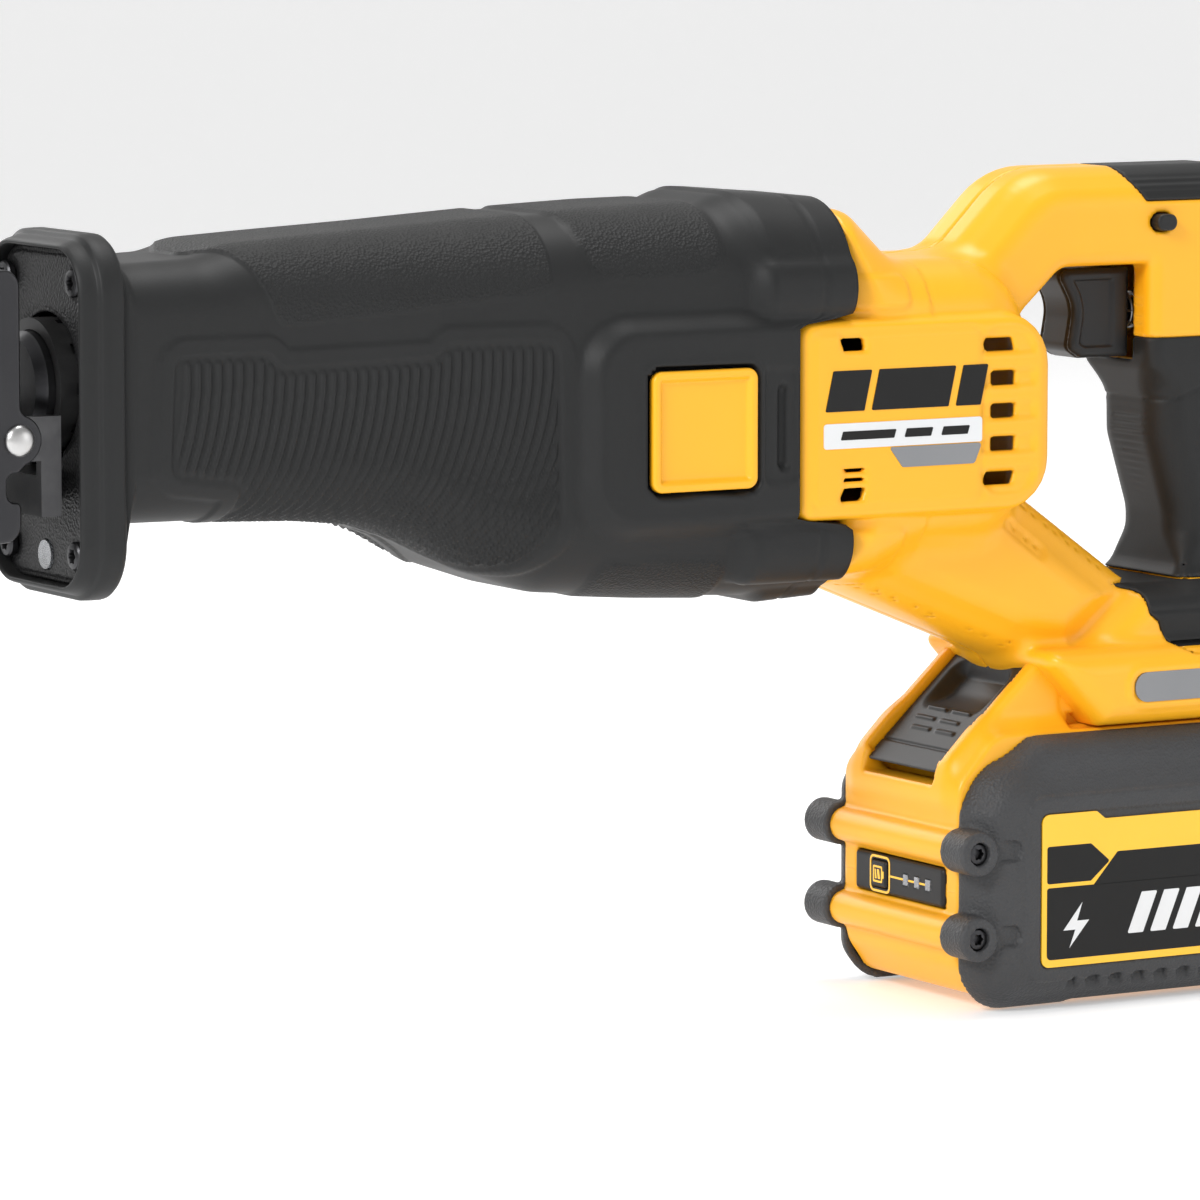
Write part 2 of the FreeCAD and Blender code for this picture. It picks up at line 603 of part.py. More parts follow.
def make_crank(low, floor):
    spindle = cyl_z((spindle_low, floor + 1.0), spindle_r, gear_x)
    top = plunger_z - max(yoke_height / 2, plunger_r) - slide_gap
    pin = cyl_z((low, top), crank_pin_r, gear_x, -stroke / 2)
    roller = cyl_z((floor + 0.5, top - 0.5), crank_roller_r, gear_x, -stroke / 2)
    roller = roller.cut(cyl_z((floor, top), crank_pin_r, gear_x, -stroke / 2))
    return spindle, pin, roller


def make_gear_bearings(low):
    rings = []
    for z in ((spindle_low + 1.0, spindle_low + 8.0), (low - 9.5, low - 2.5)):
        hole = cyl_z((z[0] - 1, z[1] + 1), spindle_r + running_gap, gear_x)
        rings.append(cyl_z(z, spindle_r + bearing_wall, gear_x).cut(hole))
    return rings


def make_rotor():
    hole = cyl_x((stator_x[0] - 1, stator_x[1] + 1), shaft_r, 0.0, motor_z)
    front = cyl_x((gear_x + gear_inner_r + 0.5, gear_x + gear_outer_r + 2.0), shaft_r - 1.0, 0.0, motor_z)
    shaft = fuse(front, cyl_x((gear_x + gear_outer_r + 2.0, shaft_rear), shaft_r, 0.0, motor_z))
    core = cyl_x(stator_x, rotor_r, 0.0, motor_z).cut(hole)
    hub = cyl_x(fan_x, 9.0, 0.0, motor_z)
    disc = cyl_x((fan_x[1] - 2.0, fan_x[1]), fan_r, 0.0, motor_z)
    blades = []
    for number in range(fan_blades):
        blade = box((fan_x[0], fan_x[1] - 1.0), (-0.8, 0.8), (motor_z + 8.0, motor_z + fan_r - 0.5))
        blade.rotate(V(0, 0, motor_z + 8.0), V(1, 0, 0), 35.0)
        blade.rotate(V(0, 0, motor_z), V(1, 0, 0), number * 360.0 / fan_blades)
        blades.append(blade)
    span = (fan_x[0] - 1, fan_x[1] + 1)
    fan = hub.fuse([disc] + blades).common(cyl_x(span, fan_r, 0.0, motor_z))
    return shaft, core, fan.cut(cyl_x(span, shaft_r, 0.0, motor_z))


def make_motor_bearings():
    rings = []
    for x in (front_bearing_x, rear_bearing_x):
        ring = ring_x((x, x + bearing_width), bearing_r, shaft_r + running_gap, 0.0, motor_z)
        rings.append(ring)
    return rings


def make_stator():
    core = ring_x(stator_x, stator_r, stator_r - 5.0, 0.0, motor_z)
    teeth, coils = [], []
    for number in range(6):
        tooth = mid_box(stator_x, 3.0, (motor_z + stator_bore + 0.5, motor_z + stator_r - 4.0))
        coil = mid_box((stator_x[0] - 3.5, stator_x[1] + 3.5), 6.8,
                       (motor_z + stator_bore + 3.0, motor_z + stator_r - 6.4))
        coil = coil.cut(mid_box((stator_x[0] - 0.2, stator_x[1] + 0.2), 3.2, (motor_z, motor_z + stator_r)))
        for shape, group in ((tooth, teeth), (coil, coils)):
            shape.rotate(V(0, 0, motor_z), V(1, 0, 0), number * 60.0)
            group.append(shape)
    core = core.fuse(teeth).cut(cyl_x((stator_x[0] - 1, stator_x[1] + 1), stator_bore, 0.0, motor_z))
    return core.removeSplitter(), coils


def make_gearcase_cover():
    """Plate that closes the gearcase and holds the front motor bearing."""
    x = (gearcase_rear - gearcase_cover_thick, gearcase_rear)
    plate = tube_solid(boot_sections, x, boot_wall + gearcase_wall + running_gap)
    boss = cyl_x((x[0], front_bearing_x + bearing_width), bearing_r + 3.0, 0.0, motor_z)
    hole = cyl_x((front_bearing_x, front_bearing_x + bearing_width + 1), bearing_r, 0.0, motor_z)
    shaft_way = cyl_x((x[0] - 3, front_bearing_x + 0.1), bearing_r - 1.3, 0.0, motor_z)
    return fuse(plate, boss).cut([hole, shaft_way])


# ---------------------------------------------------------------- housing and handle
def loop_solid(inset=0.0):
    """The D-handle: a bevelled plate with the hand opening through it."""
    bevel = max(handle_bevel - inset, 1.0)
    hole = window(hand_outline, handle_half, bevel, inset)
    return slab(handle_outline, handle_half, bevel, inset).cut(hole)


def base_solid(inset=0.0):
    return slab(base_outline, base_half, base_bevel, inset)


def rail_lips():
    """Rails of the foot that hold the battery: the battery slides along them."""
    lip = box((tower_outline[2][0] + 2.0, tongue_rear),
              (neck_half + slide_gap, tongue_half + slide_gap + 1.0),
              (groove[0] + slide_gap, groove[1] - slide_gap))
    return [lip, mirrored(lip)]


def battery_way(grow=0.0):
    """The channel under the foot that the battery's tongue and latch tower slide out of."""
    gap = slide_gap + grow
    tongue_way = mid_box((pack_front - 10, tongue_rear + gap), tongue_half + gap, (50, tongue_top + gap))
    rear, top = tower_outline[3][:2]
    tower_way = mid_box((pack_front - 10, rear + gap), tower_half + gap, (50, top + gap))
    return fuse(tongue_way, tower_way)


def trigger_way():
    """The window in the grip's front that the trigger moves back through."""
    rear, low, high = trigger_outline[4][0], trigger_outline[4][1], trigger_outline[5][1]
    return mid_box((rear - 3.0, rear + trigger_travel + slide_gap), trigger_half + slide_gap,
                   (low - slide_gap, high + slide_gap))


def screw_boss(x, z, outer):
    tower = cyl_y((-60, 60), screw_boss_r, x, z).common(outer)
    return tower.cut(cyl_y((-screw_tip, 60), screw_r, x, z))


def vent_cuts():
    """Slots in one cheek, front pair first and then the row near the rear edge."""
    slots = []
    z_low, z_high = cheek_z
    high, step = vent_size[1], (z_high - z_low - 18.6) / 4
    for number in range(5):
        z = z_low + 9.3 + number * step
        long = vent_size[0] + (3.4 if number in (0, 4) else 0.0)
        slots.append(box((vent_rear - long, vent_rear), (-60, -34), (z - high / 2, z + high / 2)))
    for z in (z_low + 6.8, z_high - 7.0):
        slots.append(box((vent_front, vent_front + vent_size[0]), (-60, -34), (z - high / 2, z + high / 2)))
    return slots


def make_housing():
    rear_x = boot_sections[-1][0]
    wall = housing_wall
    spigot_x = (gearcase_rear + seat_gap, rear_x)
    outer = fuse(tube_solid(boot_sections, spigot_x, boot_wall),
                 tube_solid(motor_sections, (motor_sections[0][0], motor_sections[-1][0])),
                 cheek_block(), loop_solid(), slab(arm_outline, arm_half, arm_bevel),
                 base_solid(), slab(foot_outline, foot_half, foot_bevel))
    motor_inner = tube_solid(motor_sections, (motor_sections[0][0] - 0.5, motor_sections[-1][0] - wall), wall)
    inner = fuse(tube_solid(boot_sections, (spigot_x[0] - 1, rear_x + 0.5), boot_wall + wall), motor_inner,
                 slab(rect(cheek_x, cheek_z, 10.0), cheek_half, cheek_bevel - 1.5, wall),
                 loop_solid(wall), slab(arm_outline, arm_half, arm_bevel - wall, wall),
                 slab(base_outline, base_half, base_bevel - wall, wall),
                 slab(foot_outline, foot_half, foot_bevel - wall, wall))
    inner = inner.cut(battery_way(wall))
    bosses = [screw_boss(x, z, outer) for x, z in screw_spots]
    cradle = []
    for x in ((stator_x[0] + 5, stator_x[0] + 8), (stator_x[1] - 8, stator_x[1] - 5)):
        rib = motor_inner.common(box(x, (-60, 60), (100, 260)))
        cradle.append(rib.cut(cyl_x((x[0] - 1, x[1] + 1), stator_r + running_gap, 0.0, motor_z)))
    span = (rear_bearing_x, rear_bearing_x + bearing_width)
    rib = inner.common(mid_box(span, 60, (motor_z - 14, motor_z + 14)))
    cradle.append(rib.cut(cyl_x((span[0] - 1, span[1] + 1), bearing_r + running_gap, 0.0, motor_z)))
    shell = outer.cut(inner).fuse(cradle + bosses)
    front = tube_solid(boot_sections, (-150, gearcase_rear + seat_gap), boot_wall - seat_gap)
    lock = mid_box((lock_x - lock_size[0] / 2 - seat_gap, lock_x + lock_size[0] / 2 + seat_gap), 60,
                   (lock_z - lock_size[1] / 2 - seat_gap, lock_z + lock_size[1] / 2 + seat_gap))
    terminals = mid_box((tongue_rear - 1, block_x[1] + seat_gap), block_half + seat_gap,
                        (block_z[0] - seat_gap, block_z[1] + seat_gap))
    vents = vent_cuts()
    cuts = [front, lock, trigger_way(), battery_way(), terminals] + vents + [mirrored(v) for v in vents]
    skins = make_skins()
    shell = shell.cut(cuts).cut(skins).fuse(rail_lips())
    left = shell.common(box((-200, 200), (-80, 0), (0, 300)))
    right = shell.common(box((-200, 200), (0, 80), (0, 300)))
    heads = [cyl_y((screw_head_y, 80), screw_head_r + seat_gap, x, z) for x, z in screw_spots]
    right = right.cut(heads)
    return left, right, skins


def make_skins():
    """Rubber overmoulds: handle top, grip and base, each a thin skin let into the housing."""
    hand_skin = loop_solid().cut(loop_solid(skin))
    outside = [slab(foot_outline, foot_half, foot_bevel), slab(arm_outline, arm_half, arm_bevel)]
    top = hand_skin.common(mid_box((skin_front_x, 100), 60, (top_skin_z, 260)))
    grip = hand_skin.common(mid_box((skin_front_x, 100), 60, grip_skin_z))
    base = base_solid().cut(base_solid(skin)).common(mid_box((skin_front_x, 100), 60, base_skin_z))
    base = base.cut(outside + [loop_solid()])
    grip = grip.cut([base_solid(), trigger_way()])
    return [biggest(top), biggest(grip), biggest(base)]


def biggest(shape):
    return max(shape.Solids, key=lambda solid: solid.Volume)


def make_housing_screws():
    length = screw_head_y + screw_tip
    screws = []
    for x, z in screw_spots:
        screw = screw_y(-screw_head_y - screw_head_r * 0.6, x, z, length, screw_head_r, screw_r)
        screws.append(mirrored(screw))
    return screws


def make_trigger():
    body = slab(trigger_outline, trigger_half, 2.0)
    rear, low, high = trigger_outline[4][0], trigger_outline[4][1], trigger_outline[5][1]
    stem = cyl_x((rear, switch_x[0] - trigger_travel - 0.5), 3.5, 0.0, (low + high) / 2)
    return fuse(body, stem)


def make_lock_off():
    long, high = lock_size
    bar = mid_box((lock_x - long / 2, lock_x + long / 2), handle_half - lock_travel - 0.6,
                  (lock_z - high / 2, lock_z + high / 2))
    reach = (-handle_half - lock_proud, handle_half + lock_proud - lock_travel)
    x, z = (lock_x - long / 2, lock_x + long / 2), (lock_z - high / 2, lock_z + high / 2)
    return fuse(bar, prism(rect(x, z, high / 2 - 0.1), reach))


def make_switch():
    body = mid_box(switch_x, switch_half, switch_z)
    lugs = [mid_box((switch_x[1], switch_x[1] + 4.0), 1.0, (z, z + 5.0)) for z in (190.0, 203.0)]
    return fuse(body, *lugs)


def make_terminals():
    block = mid_box(block_x, block_half, block_z)
    blades = []
    for number in range(6):
        y = (number - 2.5) * 7.0
        blades.append(box((tongue_rear - blade_length, block_x[0] + 4.0), (y - 0.4, y + 0.4), (85.2, 90.4)))
    return block.cut(blades), blades


def wire_run(a, b, r=1.3):
    return Part.makeCylinder(r, (b - a).Length, a, b - a)


def make_leads(ends):
    """Two supply wires up the grip and three motor wires, trimmed at the parts they end on."""
    leads = []
    for y in (-6.0, 6.0):
        leads.append(wire_run(V(block_x[0] + 6.0, y, block_z[1]), V(switch_x[0] + 14.0, y, switch_z[0])))
    for y in (-8.0, 0.0, 8.0):
        foot = V(module_x[0] + 2.0, y, module_z[1])
        leads.append(wire_run(foot, V(stator_x[1] + 3.5, y * 0.4, motor_z - 23.5)))
    return [lead.cut(ends) for lead in leads]


def make_module():
    tray = mid_box(module_x, module_half, module_z)
    fins = [mid_box((module_x[0] + 6.0 + n * 6.0, module_x[0] + 9.0 + n * 6.0), module_half - 2.0,
                    (module_z[1] - 0.1, module_z[1] + 2.0)) for n in range(5)]
    return fuse(tray, *fins)


def make_side_plates():
    name = box((cheek_x[0] + 7.0, vent_rear - vent_size[0] - 6.0), (-cheek_half - 0.6, -cheek_half),
               (cheek_z[0] + 13.0, cheek_z[1] - 11.0))
    badge = box((-8.0, 56.0), (-foot_half - 0.6, -foot_half), (87.5, 97.0))
    return both(name), both(badge)


# ---------------------------------------------------------------- battery pack
def pack_outline(top, inset=0.0):
    low, radius = core_low, 8.0
    return [(pack_front + 1.0 + inset, low + inset, radius), (pack_rear - inset, low + inset, radius),
            (pack_rear - inset, top - inset, radius), (pack_front + 1.0 + inset, top - inset, 5.0)]


def press_direction():
    """Unit vector into the pack, square to the latch button's slope."""
    (ax, az), (bx, bz) = latch_slope
    along = V(bx - ax, 0, bz - az)
    along.normalize()
    return V(-along.z, 0, along.x)


def latch_prism(half, top, bottom, ends=0.0):
    """A bar along the latch slope, from top to bottom below the slope line."""
    into = press_direction()
    (ax, az), (bx, bz) = latch_slope
    along = V(bx - ax, 0, bz - az)
    along.normalize()
    a, b = V(ax, 0, az) - along * ends, V(bx, 0, bz) + along * ends
    corners = [a + into * top, b + into * top, b + into * bottom, a + into * bottom]
    return prism([(c.x, c.z, 0.6) for c in corners], (-half, half))


def make_core():
    shell = prism(pack_outline(pack_top), (-core_half, core_half))
    shell = shell.cut(prism(pack_outline(pack_top, pack_wall), (-core_half - 1, core_half + 1)))
    rolls = [cyl_y((-core_half, core_half), roll_r, roll_x, z) for z in roll_z]
    tower = prism(tower_outline, (-tower_half, tower_half))
    tongue = mid_box((-40.0, tongue_rear), tongue_half, (pack_top - 1.0, tongue_top))
    tongue = tongue.cut(both(box((tower_outline[2][0] + 1.5, tongue_rear + 1), (-40, -neck_half), groove)))
    inside = prism(pack_outline(pack_top, pack_wall), (-core_half, core_half))
    inside = inside.common(box((-100, 100), (-60, 60), (0, pack_top - pack_wall)))
    pocket = latch_prism(latch_half + slide_gap, -3.0, latch_thick + latch_travel + 0.6, slide_gap)
    seat = latch_mid() + press_direction() * (latch_thick + latch_travel)
    spring_way = Part.makeCylinder(4.2, spring_pit, seat, press_direction())
    slots = [box((tongue_rear - blade_length - 2.0, tongue_rear + 1), (y - 1.6, y + 1.6), (84.6, 91.0))
             for y in [(n - 2.5) * 7.0 for n in range(6)]]
    rib = mid_box((pack_front + 3.2, pack_front + 5.0), core_half, (roll_z[0], roll_z[1]))
    gauge = mid_box((pack_front - 5, pack_front + 4.5), gauge_half + seat_gap,
                    (gauge_z[0] - seat_gap, gauge_z[1] + seat_gap))
    rolls_in = [cyl_y((-core_half - 1, core_half + 1), screw_bore_r, roll_x, z) for z in roll_z]
    pad = mid_box(base_pad_x, base_pad_half, (0.0, core_low + pack_wall / 2))
    core = fuse(shell, tower, tongue, pad, *rolls).fuse(rib)
    hollow = inside.cut([rib] + rolls)
    return core.cut([hollow, pocket, spring_way, gauge] + slots + rolls_in)


def latch_mid():
    (ax, az), (bx, bz) = latch_slope
    return V((ax + bx) / 2, 0, (az + bz) / 2)


def make_bumper():
    """Side shell of the pack on the left: a rounded block hollowed from the middle side."""
    front = pack_front + 0.5
    points = [(-56.0, 0.0, bumper_round), (pack_rear, 0.0, bumper_round),
              (pack_rear, bumper_top, bumper_round), (-57.0, bumper_top, 10.0),
              (front, bumper_top - 14.0, 8.0), (front, 10.0, 8.0)]
    outer = slab(points, pack_half, 4.0)
    shoulder = slab([(-56.0, 60.0, 2.0), (pack_rear - 2, 60.0, 2.0), (pack_rear - 2, pack_top, 6.0),
                     (-40.0, pack_top, 6.0), (-56.0, bumper_top - 2.0, 6.0)], pack_half - 3.0, 6.0)
    bosses = [cyl_y((-pack_half + 2.0, 0), roll_r + 1.2, roll_x, z) for z in roll_z]
    side = box((-100, 100), (-60, -core_half), (-10, 100))
    hollow = slab(points, pack_half, 4.0, pack_wall)
    block = outer.fuse([shoulder] + bosses).common(side)
    screws = [cyl_y((-60, 0), screw_bore_r, roll_x, z) for z in roll_z] + \
             [cyl_y((-pack_half - 1, -pack_half + 3.4), 3.4, roll_x, z) for z in roll_z]
    slots = [box((x, x + 4.0), (-pack_half - 1, -pack_half + 2.0), (4.0, 9.0))
             for x in [-34.0 + n * 8.0 for n in range(11)]]
    return block.cut([hollow] + screws + slots)


def make_pack_screws():
    screws = []
    for z in roll_z:
        screws.append(screw_y(-pack_half + 1.2, roll_x, z, 18.0, 3.1, screw_bore_r - 0.05))
    return screws + [mirrored(s) for s in screws]


def cell_spots():
    return [((c - (cell_columns - 1) / 2) * cell_pitch + 1.0, cell_low + r * cell_pitch)
            for c in range(cell_columns) for r in range(cell_rows)]


def cells_top():
    """Height of the cell holders, where the board lies on them."""
    return cell_low + (cell_rows - 1) * cell_pitch + cell_r + 3.0


def make_cells():
    cells = [cyl_y((-cell_length / 2, cell_length / 2), cell_r, x, z) for x, z in cell_spots()]
    plate = rect((-52.0, 54.0), (core_low + pack_wall + slide_gap, cells_top()), 4.0)
    holders = []
    for y in ((-26.0, -16.0), (16.0, 26.0)):
        holder = prism(plate, y)
        holders.append(holder.cut([cyl_y((y[0] - 1, y[1] + 1), cell_r, x, z) for x, z in cell_spots()]))
    return cells, holders


def make_pack_inside():
    top = cells_top()
    board = mid_box((-46.0, tongue_rear - 2), 22.0, (top, top + 1.6))
    clips = []
    for number in range(6):
        y = (number - 2.5) * 7.0
        for side in (-1, 1):
            a, b = sorted((y + side * 0.9, y + side * 1.6))
            clips.append(box((tongue_rear - blade_length - 1.5, tongue_rear - 6.0), (a, b), (85.0, 90.6)))
    return board, clips


def make_gauge():
    x = (pack_front - 0.8, pack_front + 4.5)
    panel = mid_box(x, gauge_half, gauge_z)
    mid = (gauge_z[0] + gauge_z[1]) / 2
    button_y = gauge_half * 0.42
    hole = box((x[0] - 1, x[1] - 1.5), (button_y - 4.2, button_y + 4.2), (mid - 4.2, mid + 4.2))
    lamps = [box((x[0] - 0.1, x[0] + 2.0), (y - 1.3, y + 1.3), (mid - 1.6, mid + 1.6))
             for y in (-4.0, -10.0, -16.0)]
    button = box((x[0] - 0.6, x[0] + 2.4), (button_y - 4.0, button_y + 4.0), (mid - 4.0, mid + 4.0))
    return panel.cut([hole] + lamps), lamps, button


def make_latch():
    body = latch_prism(latch_half, 0.0, latch_thick)
    lip = latch_prism(latch_half - 1.5, -1.2, 0.1).common(box((-80, -54), (-60, 60), (0, 90)))
    return fuse(body, lip)


def make_release_spring():
    back = -button_face_y + button_thick
    room = -back - section_at(boot_sections, button_mid_x)[3] + boot_wall
    seat = V(button_mid_x, back, (button_z[0] + button_z[1]) / 2 - 8.0)
    return helix_spring(seat, V(0, 1, 0), room, 3.0, 0.3, 2)


def make_trigger_spring():
    rear, middle = trigger_outline[4][0], (trigger_outline[4][1] + trigger_outline[5][1]) / 2
    return helix_spring(V(rear, 0, middle), V(1, 0, 0), switch_x[0] - rear, 5.2, 0.5, 6)


def make_latch_spring():
    seat = latch_mid() + press_direction() * latch_thick
    return helix_spring(seat, press_direction(), latch_travel + spring_pit, 3.0, 0.4, 5)


def make_labels():
    plate = box((-44.0, 52.0), (-pack_half - 0.5, -pack_half), (13.0, 58.0))
    return both(plate)


# ---------------------------------------------------------------- build every part
os.makedirs("parts", exist_ok=True)

drive_gear, gear_low, gear_floor = make_drive_gear()
spindle, crank_pin, crank_roller = make_crank(gear_low, gear_floor)
save("rubber_boot", make_boot())
save("gearcase", make_gearcase(gear_low - 1.5))
save("gearcase_cover", make_gearcase_cover())
save("nose_plate", make_nose_plate())
save("nose_screws", make_nose_screws())
save("worklight_lens", cyl_x((plate_front - 0.4, plate_front + plate_thick), lens_r, 0.0, lens_z))
bushings, seal = make_bushings()
save("plunger_bushings", bushings)
save("plunger_seal", seal)
save("reciprocating_shaft", make_plunger())
save("blade_clamp", make_clamp())
save("clamp_sleeve", make_sleeve())
save("shoe_post", make_post())
save("shoe_rivets", make_rivets())
save("pivoting_shoe", make_shoe())
save("shoe_release_button", make_release_button())
save("shoe_latch_bar", make_latch_bar())
save("release_spring", make_release_spring())
save("drive_gear", drive_gear)
save("gear_spindle", spindle)
save("crank_pin", crank_pin)
save("crank_roller", crank_roller)
save("gear_bearings", make_gear_bearings(gear_low))
save("pinion_gear", make_pinion())
shaft, core, fan = make_rotor()
save("rotor_shaft", shaft)
save("rotor_core", core)
save("cooling_fan", fan)
save("motor_bearings", make_motor_bearings())
stator, coils = make_stator()
save("stator_core", stator)
save("stator_windings", coils)
left, right, skins = make_housing()
save("housing_left", left)
save("housing_right", right)
for name, shape in zip(("handle_top_overmold", "grip_overmold", "base_overmold"), skins):
    save(name, shape)
save("housing_screws", make_housing_screws())
save("trigger", make_trigger())
save("trigger_spring", make_trigger_spring())
save("lock_off_button", make_lock_off())
save("switch_body", make_switch())
block, blades = make_terminals()
save("terminal_block", block)
save("terminal_blades", blades)
module = make_module()
save("control_module", module)
save("power_leads", make_leads([module, block, made["switch_body"]] + coils))
name_plates, badges = make_side_plates()
save("name_plates", name_plates)
save("foot_badges", badges)
save("battery_core", make_core())
bumper = make_bumper()
save("battery_bumper_left", bumper)
save("battery_bumper_right", mirrored(bumper))
save("battery_screws", make_pack_screws())
cells, holders = make_cells()
save("battery_cells", cells)
save("cell_holders", holders)
board, clips = make_pack_inside()
save("battery_board", board)
save("battery_contacts", clips)
panel, lamps, gauge_button = make_gauge()
save("gauge_panel", panel)
save("gauge_lights", lamps)
save("gauge_button", gauge_button)
save("battery_labels", make_labels())
save("latch_button", make_latch())
save("latch_spring", make_latch_spring())

whole = Part.makeCompound(list(made.values())).BoundBox
print("parts", len(made), "size", [round(v, 1) for v in (whole.XLength, whole.YLength, whole.ZLength)])
print("low", [round(v, 1) for v in (whole.XMin, whole.YMin, whole.ZMin)])
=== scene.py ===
import json
import math
import bpy
import bmesh
import numpy as np
from mathutils import Matrix


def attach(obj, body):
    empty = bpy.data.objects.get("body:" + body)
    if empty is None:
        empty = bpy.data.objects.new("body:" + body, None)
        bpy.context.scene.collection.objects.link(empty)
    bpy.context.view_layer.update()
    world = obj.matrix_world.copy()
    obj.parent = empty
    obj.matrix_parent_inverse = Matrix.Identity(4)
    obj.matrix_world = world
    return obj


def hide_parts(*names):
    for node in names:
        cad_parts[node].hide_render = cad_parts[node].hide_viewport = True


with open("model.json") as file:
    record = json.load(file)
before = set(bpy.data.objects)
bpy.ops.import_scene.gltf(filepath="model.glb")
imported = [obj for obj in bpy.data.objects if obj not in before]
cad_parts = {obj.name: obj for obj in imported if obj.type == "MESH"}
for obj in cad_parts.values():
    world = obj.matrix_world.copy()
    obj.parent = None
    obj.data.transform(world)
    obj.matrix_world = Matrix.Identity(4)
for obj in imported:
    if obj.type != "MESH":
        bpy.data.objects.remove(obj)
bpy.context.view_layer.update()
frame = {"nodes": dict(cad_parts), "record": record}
mm = 0.001   # shapes below are worked out in millimetres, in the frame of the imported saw


def makePiece(name, solid, finish, body, nodes=(), marks=None, fixNormals=False, sharp=None):
    points, faces = solid
    mesh = bpy.data.meshes.new(name)
    mesh.from_pydata((np.asarray(points, float) * mm).tolist(), [], np.asarray(faces).tolist())
    if marks is not None:
        layer = mesh.attributes.new("grip", "FLOAT", "POINT")
        layer.data.foreach_set("value", np.asarray(marks, np.float32).ravel())
    if fixNormals:                       # collapsed rings are merged, then all faces turned out
        work = bmesh.new()
        work.from_mesh(mesh)
        bmesh.ops.remove_doubles(work, verts=work.verts, dist=1e-6)
        bmesh.ops.recalc_face_normals(work, faces=work.faces)
        work.to_mesh(mesh)
        work.free()
    mesh.polygons.foreach_set("use_smooth", np.ones(len(mesh.polygons), bool))
    if sharp:
        mesh.set_sharp_from_angle(angle=math.radians(sharp))
    mesh.update()
    piece = bpy.data.objects.new(name, mesh)
    bpy.context.scene.collection.objects.link(piece)
    mesh.materials.append(finishes[finish])
    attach(piece, body)
    if nodes:
        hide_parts(*nodes)
    return piece


def gridFaces(rows, columns, closeRows=False, closeColumns=True):
    # quads between neighbouring rows and columns of a grid of points
    r = np.arange(rows if closeRows else rows - 1)
    c = np.arange(columns if closeColumns else columns - 1)
    i, j = np.meshgrid(r, c, indexing="ij")
    ni, nj = (i + 1) % rows, (j + 1) % columns
    return np.stack([i * columns + j, ni * columns + j, ni * columns + nj, i * columns + nj],
                    -1).reshape(-1, 4)


def smooth(edge0, edge1, value):
    # rises from 0 to 1 between two edges along a smooth S curve
    t = np.clip((value - edge0) / (edge1 - edge0), 0.0, 1.0)
    return t * t * (3.0 - 2.0 * t)


def roundedOutline(corners, arcSteps=7):
    # corner list (u, v, radius) to a closed run of points, each corner an arc tangent to its sides
    c = np.array(corners, float)
    p, r = c[:, :2], c[:, 2]
    before, after = np.roll(p, 1, 0) - p, np.roll(p, -1, 0) - p
    before /= np.linalg.norm(before, axis=1)[:, None]
    after /= np.linalg.norm(after, axis=1)[:, None]
    half = np.arccos(np.clip((before * after).sum(1), -1, 1)) / 2
    middle = before + after
    middle /= np.linalg.norm(middle, axis=1)[:, None]
    centre = p + middle * (r / np.sin(half))[:, None]
    start, end = p + before * (r / np.tan(half))[:, None], p + after * (r / np.tan(half))[:, None]
    a0 = np.arctan2(*(start - centre).T[::-1])
    a1 = np.arctan2(*(end - centre).T[::-1])
    turn = (a1 - a0 + np.pi) % (2 * np.pi) - np.pi
    angle = a0[:, None] + turn[:, None] * np.linspace(0, 1, arcSteps)
    arcs = centre[:, None] + r[:, None, None] * np.stack([np.cos(angle), np.sin(angle)], -1)
    return arcs.reshape(-1, 2)


def outlineDistance(corners, margin=16.0, cell=0.5):
    # signed distance from a rounded outline, worked out once on a fine plan grid and looked up from it
    curve = roundedOutline(corners)
    low = curve.min(0) - margin
    size = np.ceil((curve.max(0) + margin - low) / cell).astype(int) + 2
    u, v = np.meshgrid(*(low[k] + cell * np.arange(size[k]) for k in (0, 1)), indexing="ij")
    best, odd = np.full(u.shape, 1e9), np.zeros(u.shape, bool)
    for (au, av), (bu, bv) in zip(curve, np.roll(curve, -1, 0)):
        eu, ev = bu - au, bv - av
        length = eu * eu + ev * ev
        if length < 1e-12:
            continue
        t = np.clip(((u - au) * eu + (v - av) * ev) / length, 0, 1)
        best = np.minimum(best, (u - au - t * eu) ** 2 + (v - av - t * ev) ** 2)
        if av != bv:
            odd ^= ((av > v) != (bv > v)) & (u < eu * (v - av) / ev + au)
    table = np.where(odd, -1, 1) * np.sqrt(best)

    def distance(u, v):
        a = np.clip((u - low[0]) / cell, 0, size[0] - 1.001)
        b = np.clip((v - low[1]) / cell, 0, size[1] - 1.001)
        i, j = a.astype(np.int32), b.astype(np.int32)
        a, b = a - i, b - j
        return ((table[i, j] * (1 - a) + table[i + 1, j] * a) * (1 - b)
                + (table[i, j + 1] * (1 - a) + table[i + 1, j + 1] * a) * b)
    return distance


# an outline from two (low, high) pairs, with rounded corners
def rectangle(u, v, r):
    return roundedOutline([(u[0], v[0], r), (u[1], v[0], r), (u[1], v[1], r), (u[0], v[1], r)])


def slanted(start, wide, low, high, lean, r):
    # a bar between two heights that leans towards the rear
    return roundedOutline([(start, low, r), (start + wide, low, r), (start + wide + lean, high, r),
                           (start + lean, high, r)])


# A field is negative inside the form and positive outside, in millimetres.
def both(a, b, r=0.0):
    # inside both forms, with their common edge rounded
    if not np.any(r):
        return np.maximum(a, b)
    return np.minimum(np.maximum(a, b), -r) + np.hypot(np.maximum(a + r, 0), np.maximum(b + r, 0))


def either(a, b, r=0.0):
    # inside one or the other, with the corner between them filled to a radius
    if not np.any(r):
        return np.minimum(a, b)
    return np.maximum(np.minimum(a, b), r) - np.hypot(np.maximum(r - a, 0), np.maximum(r - b, 0))


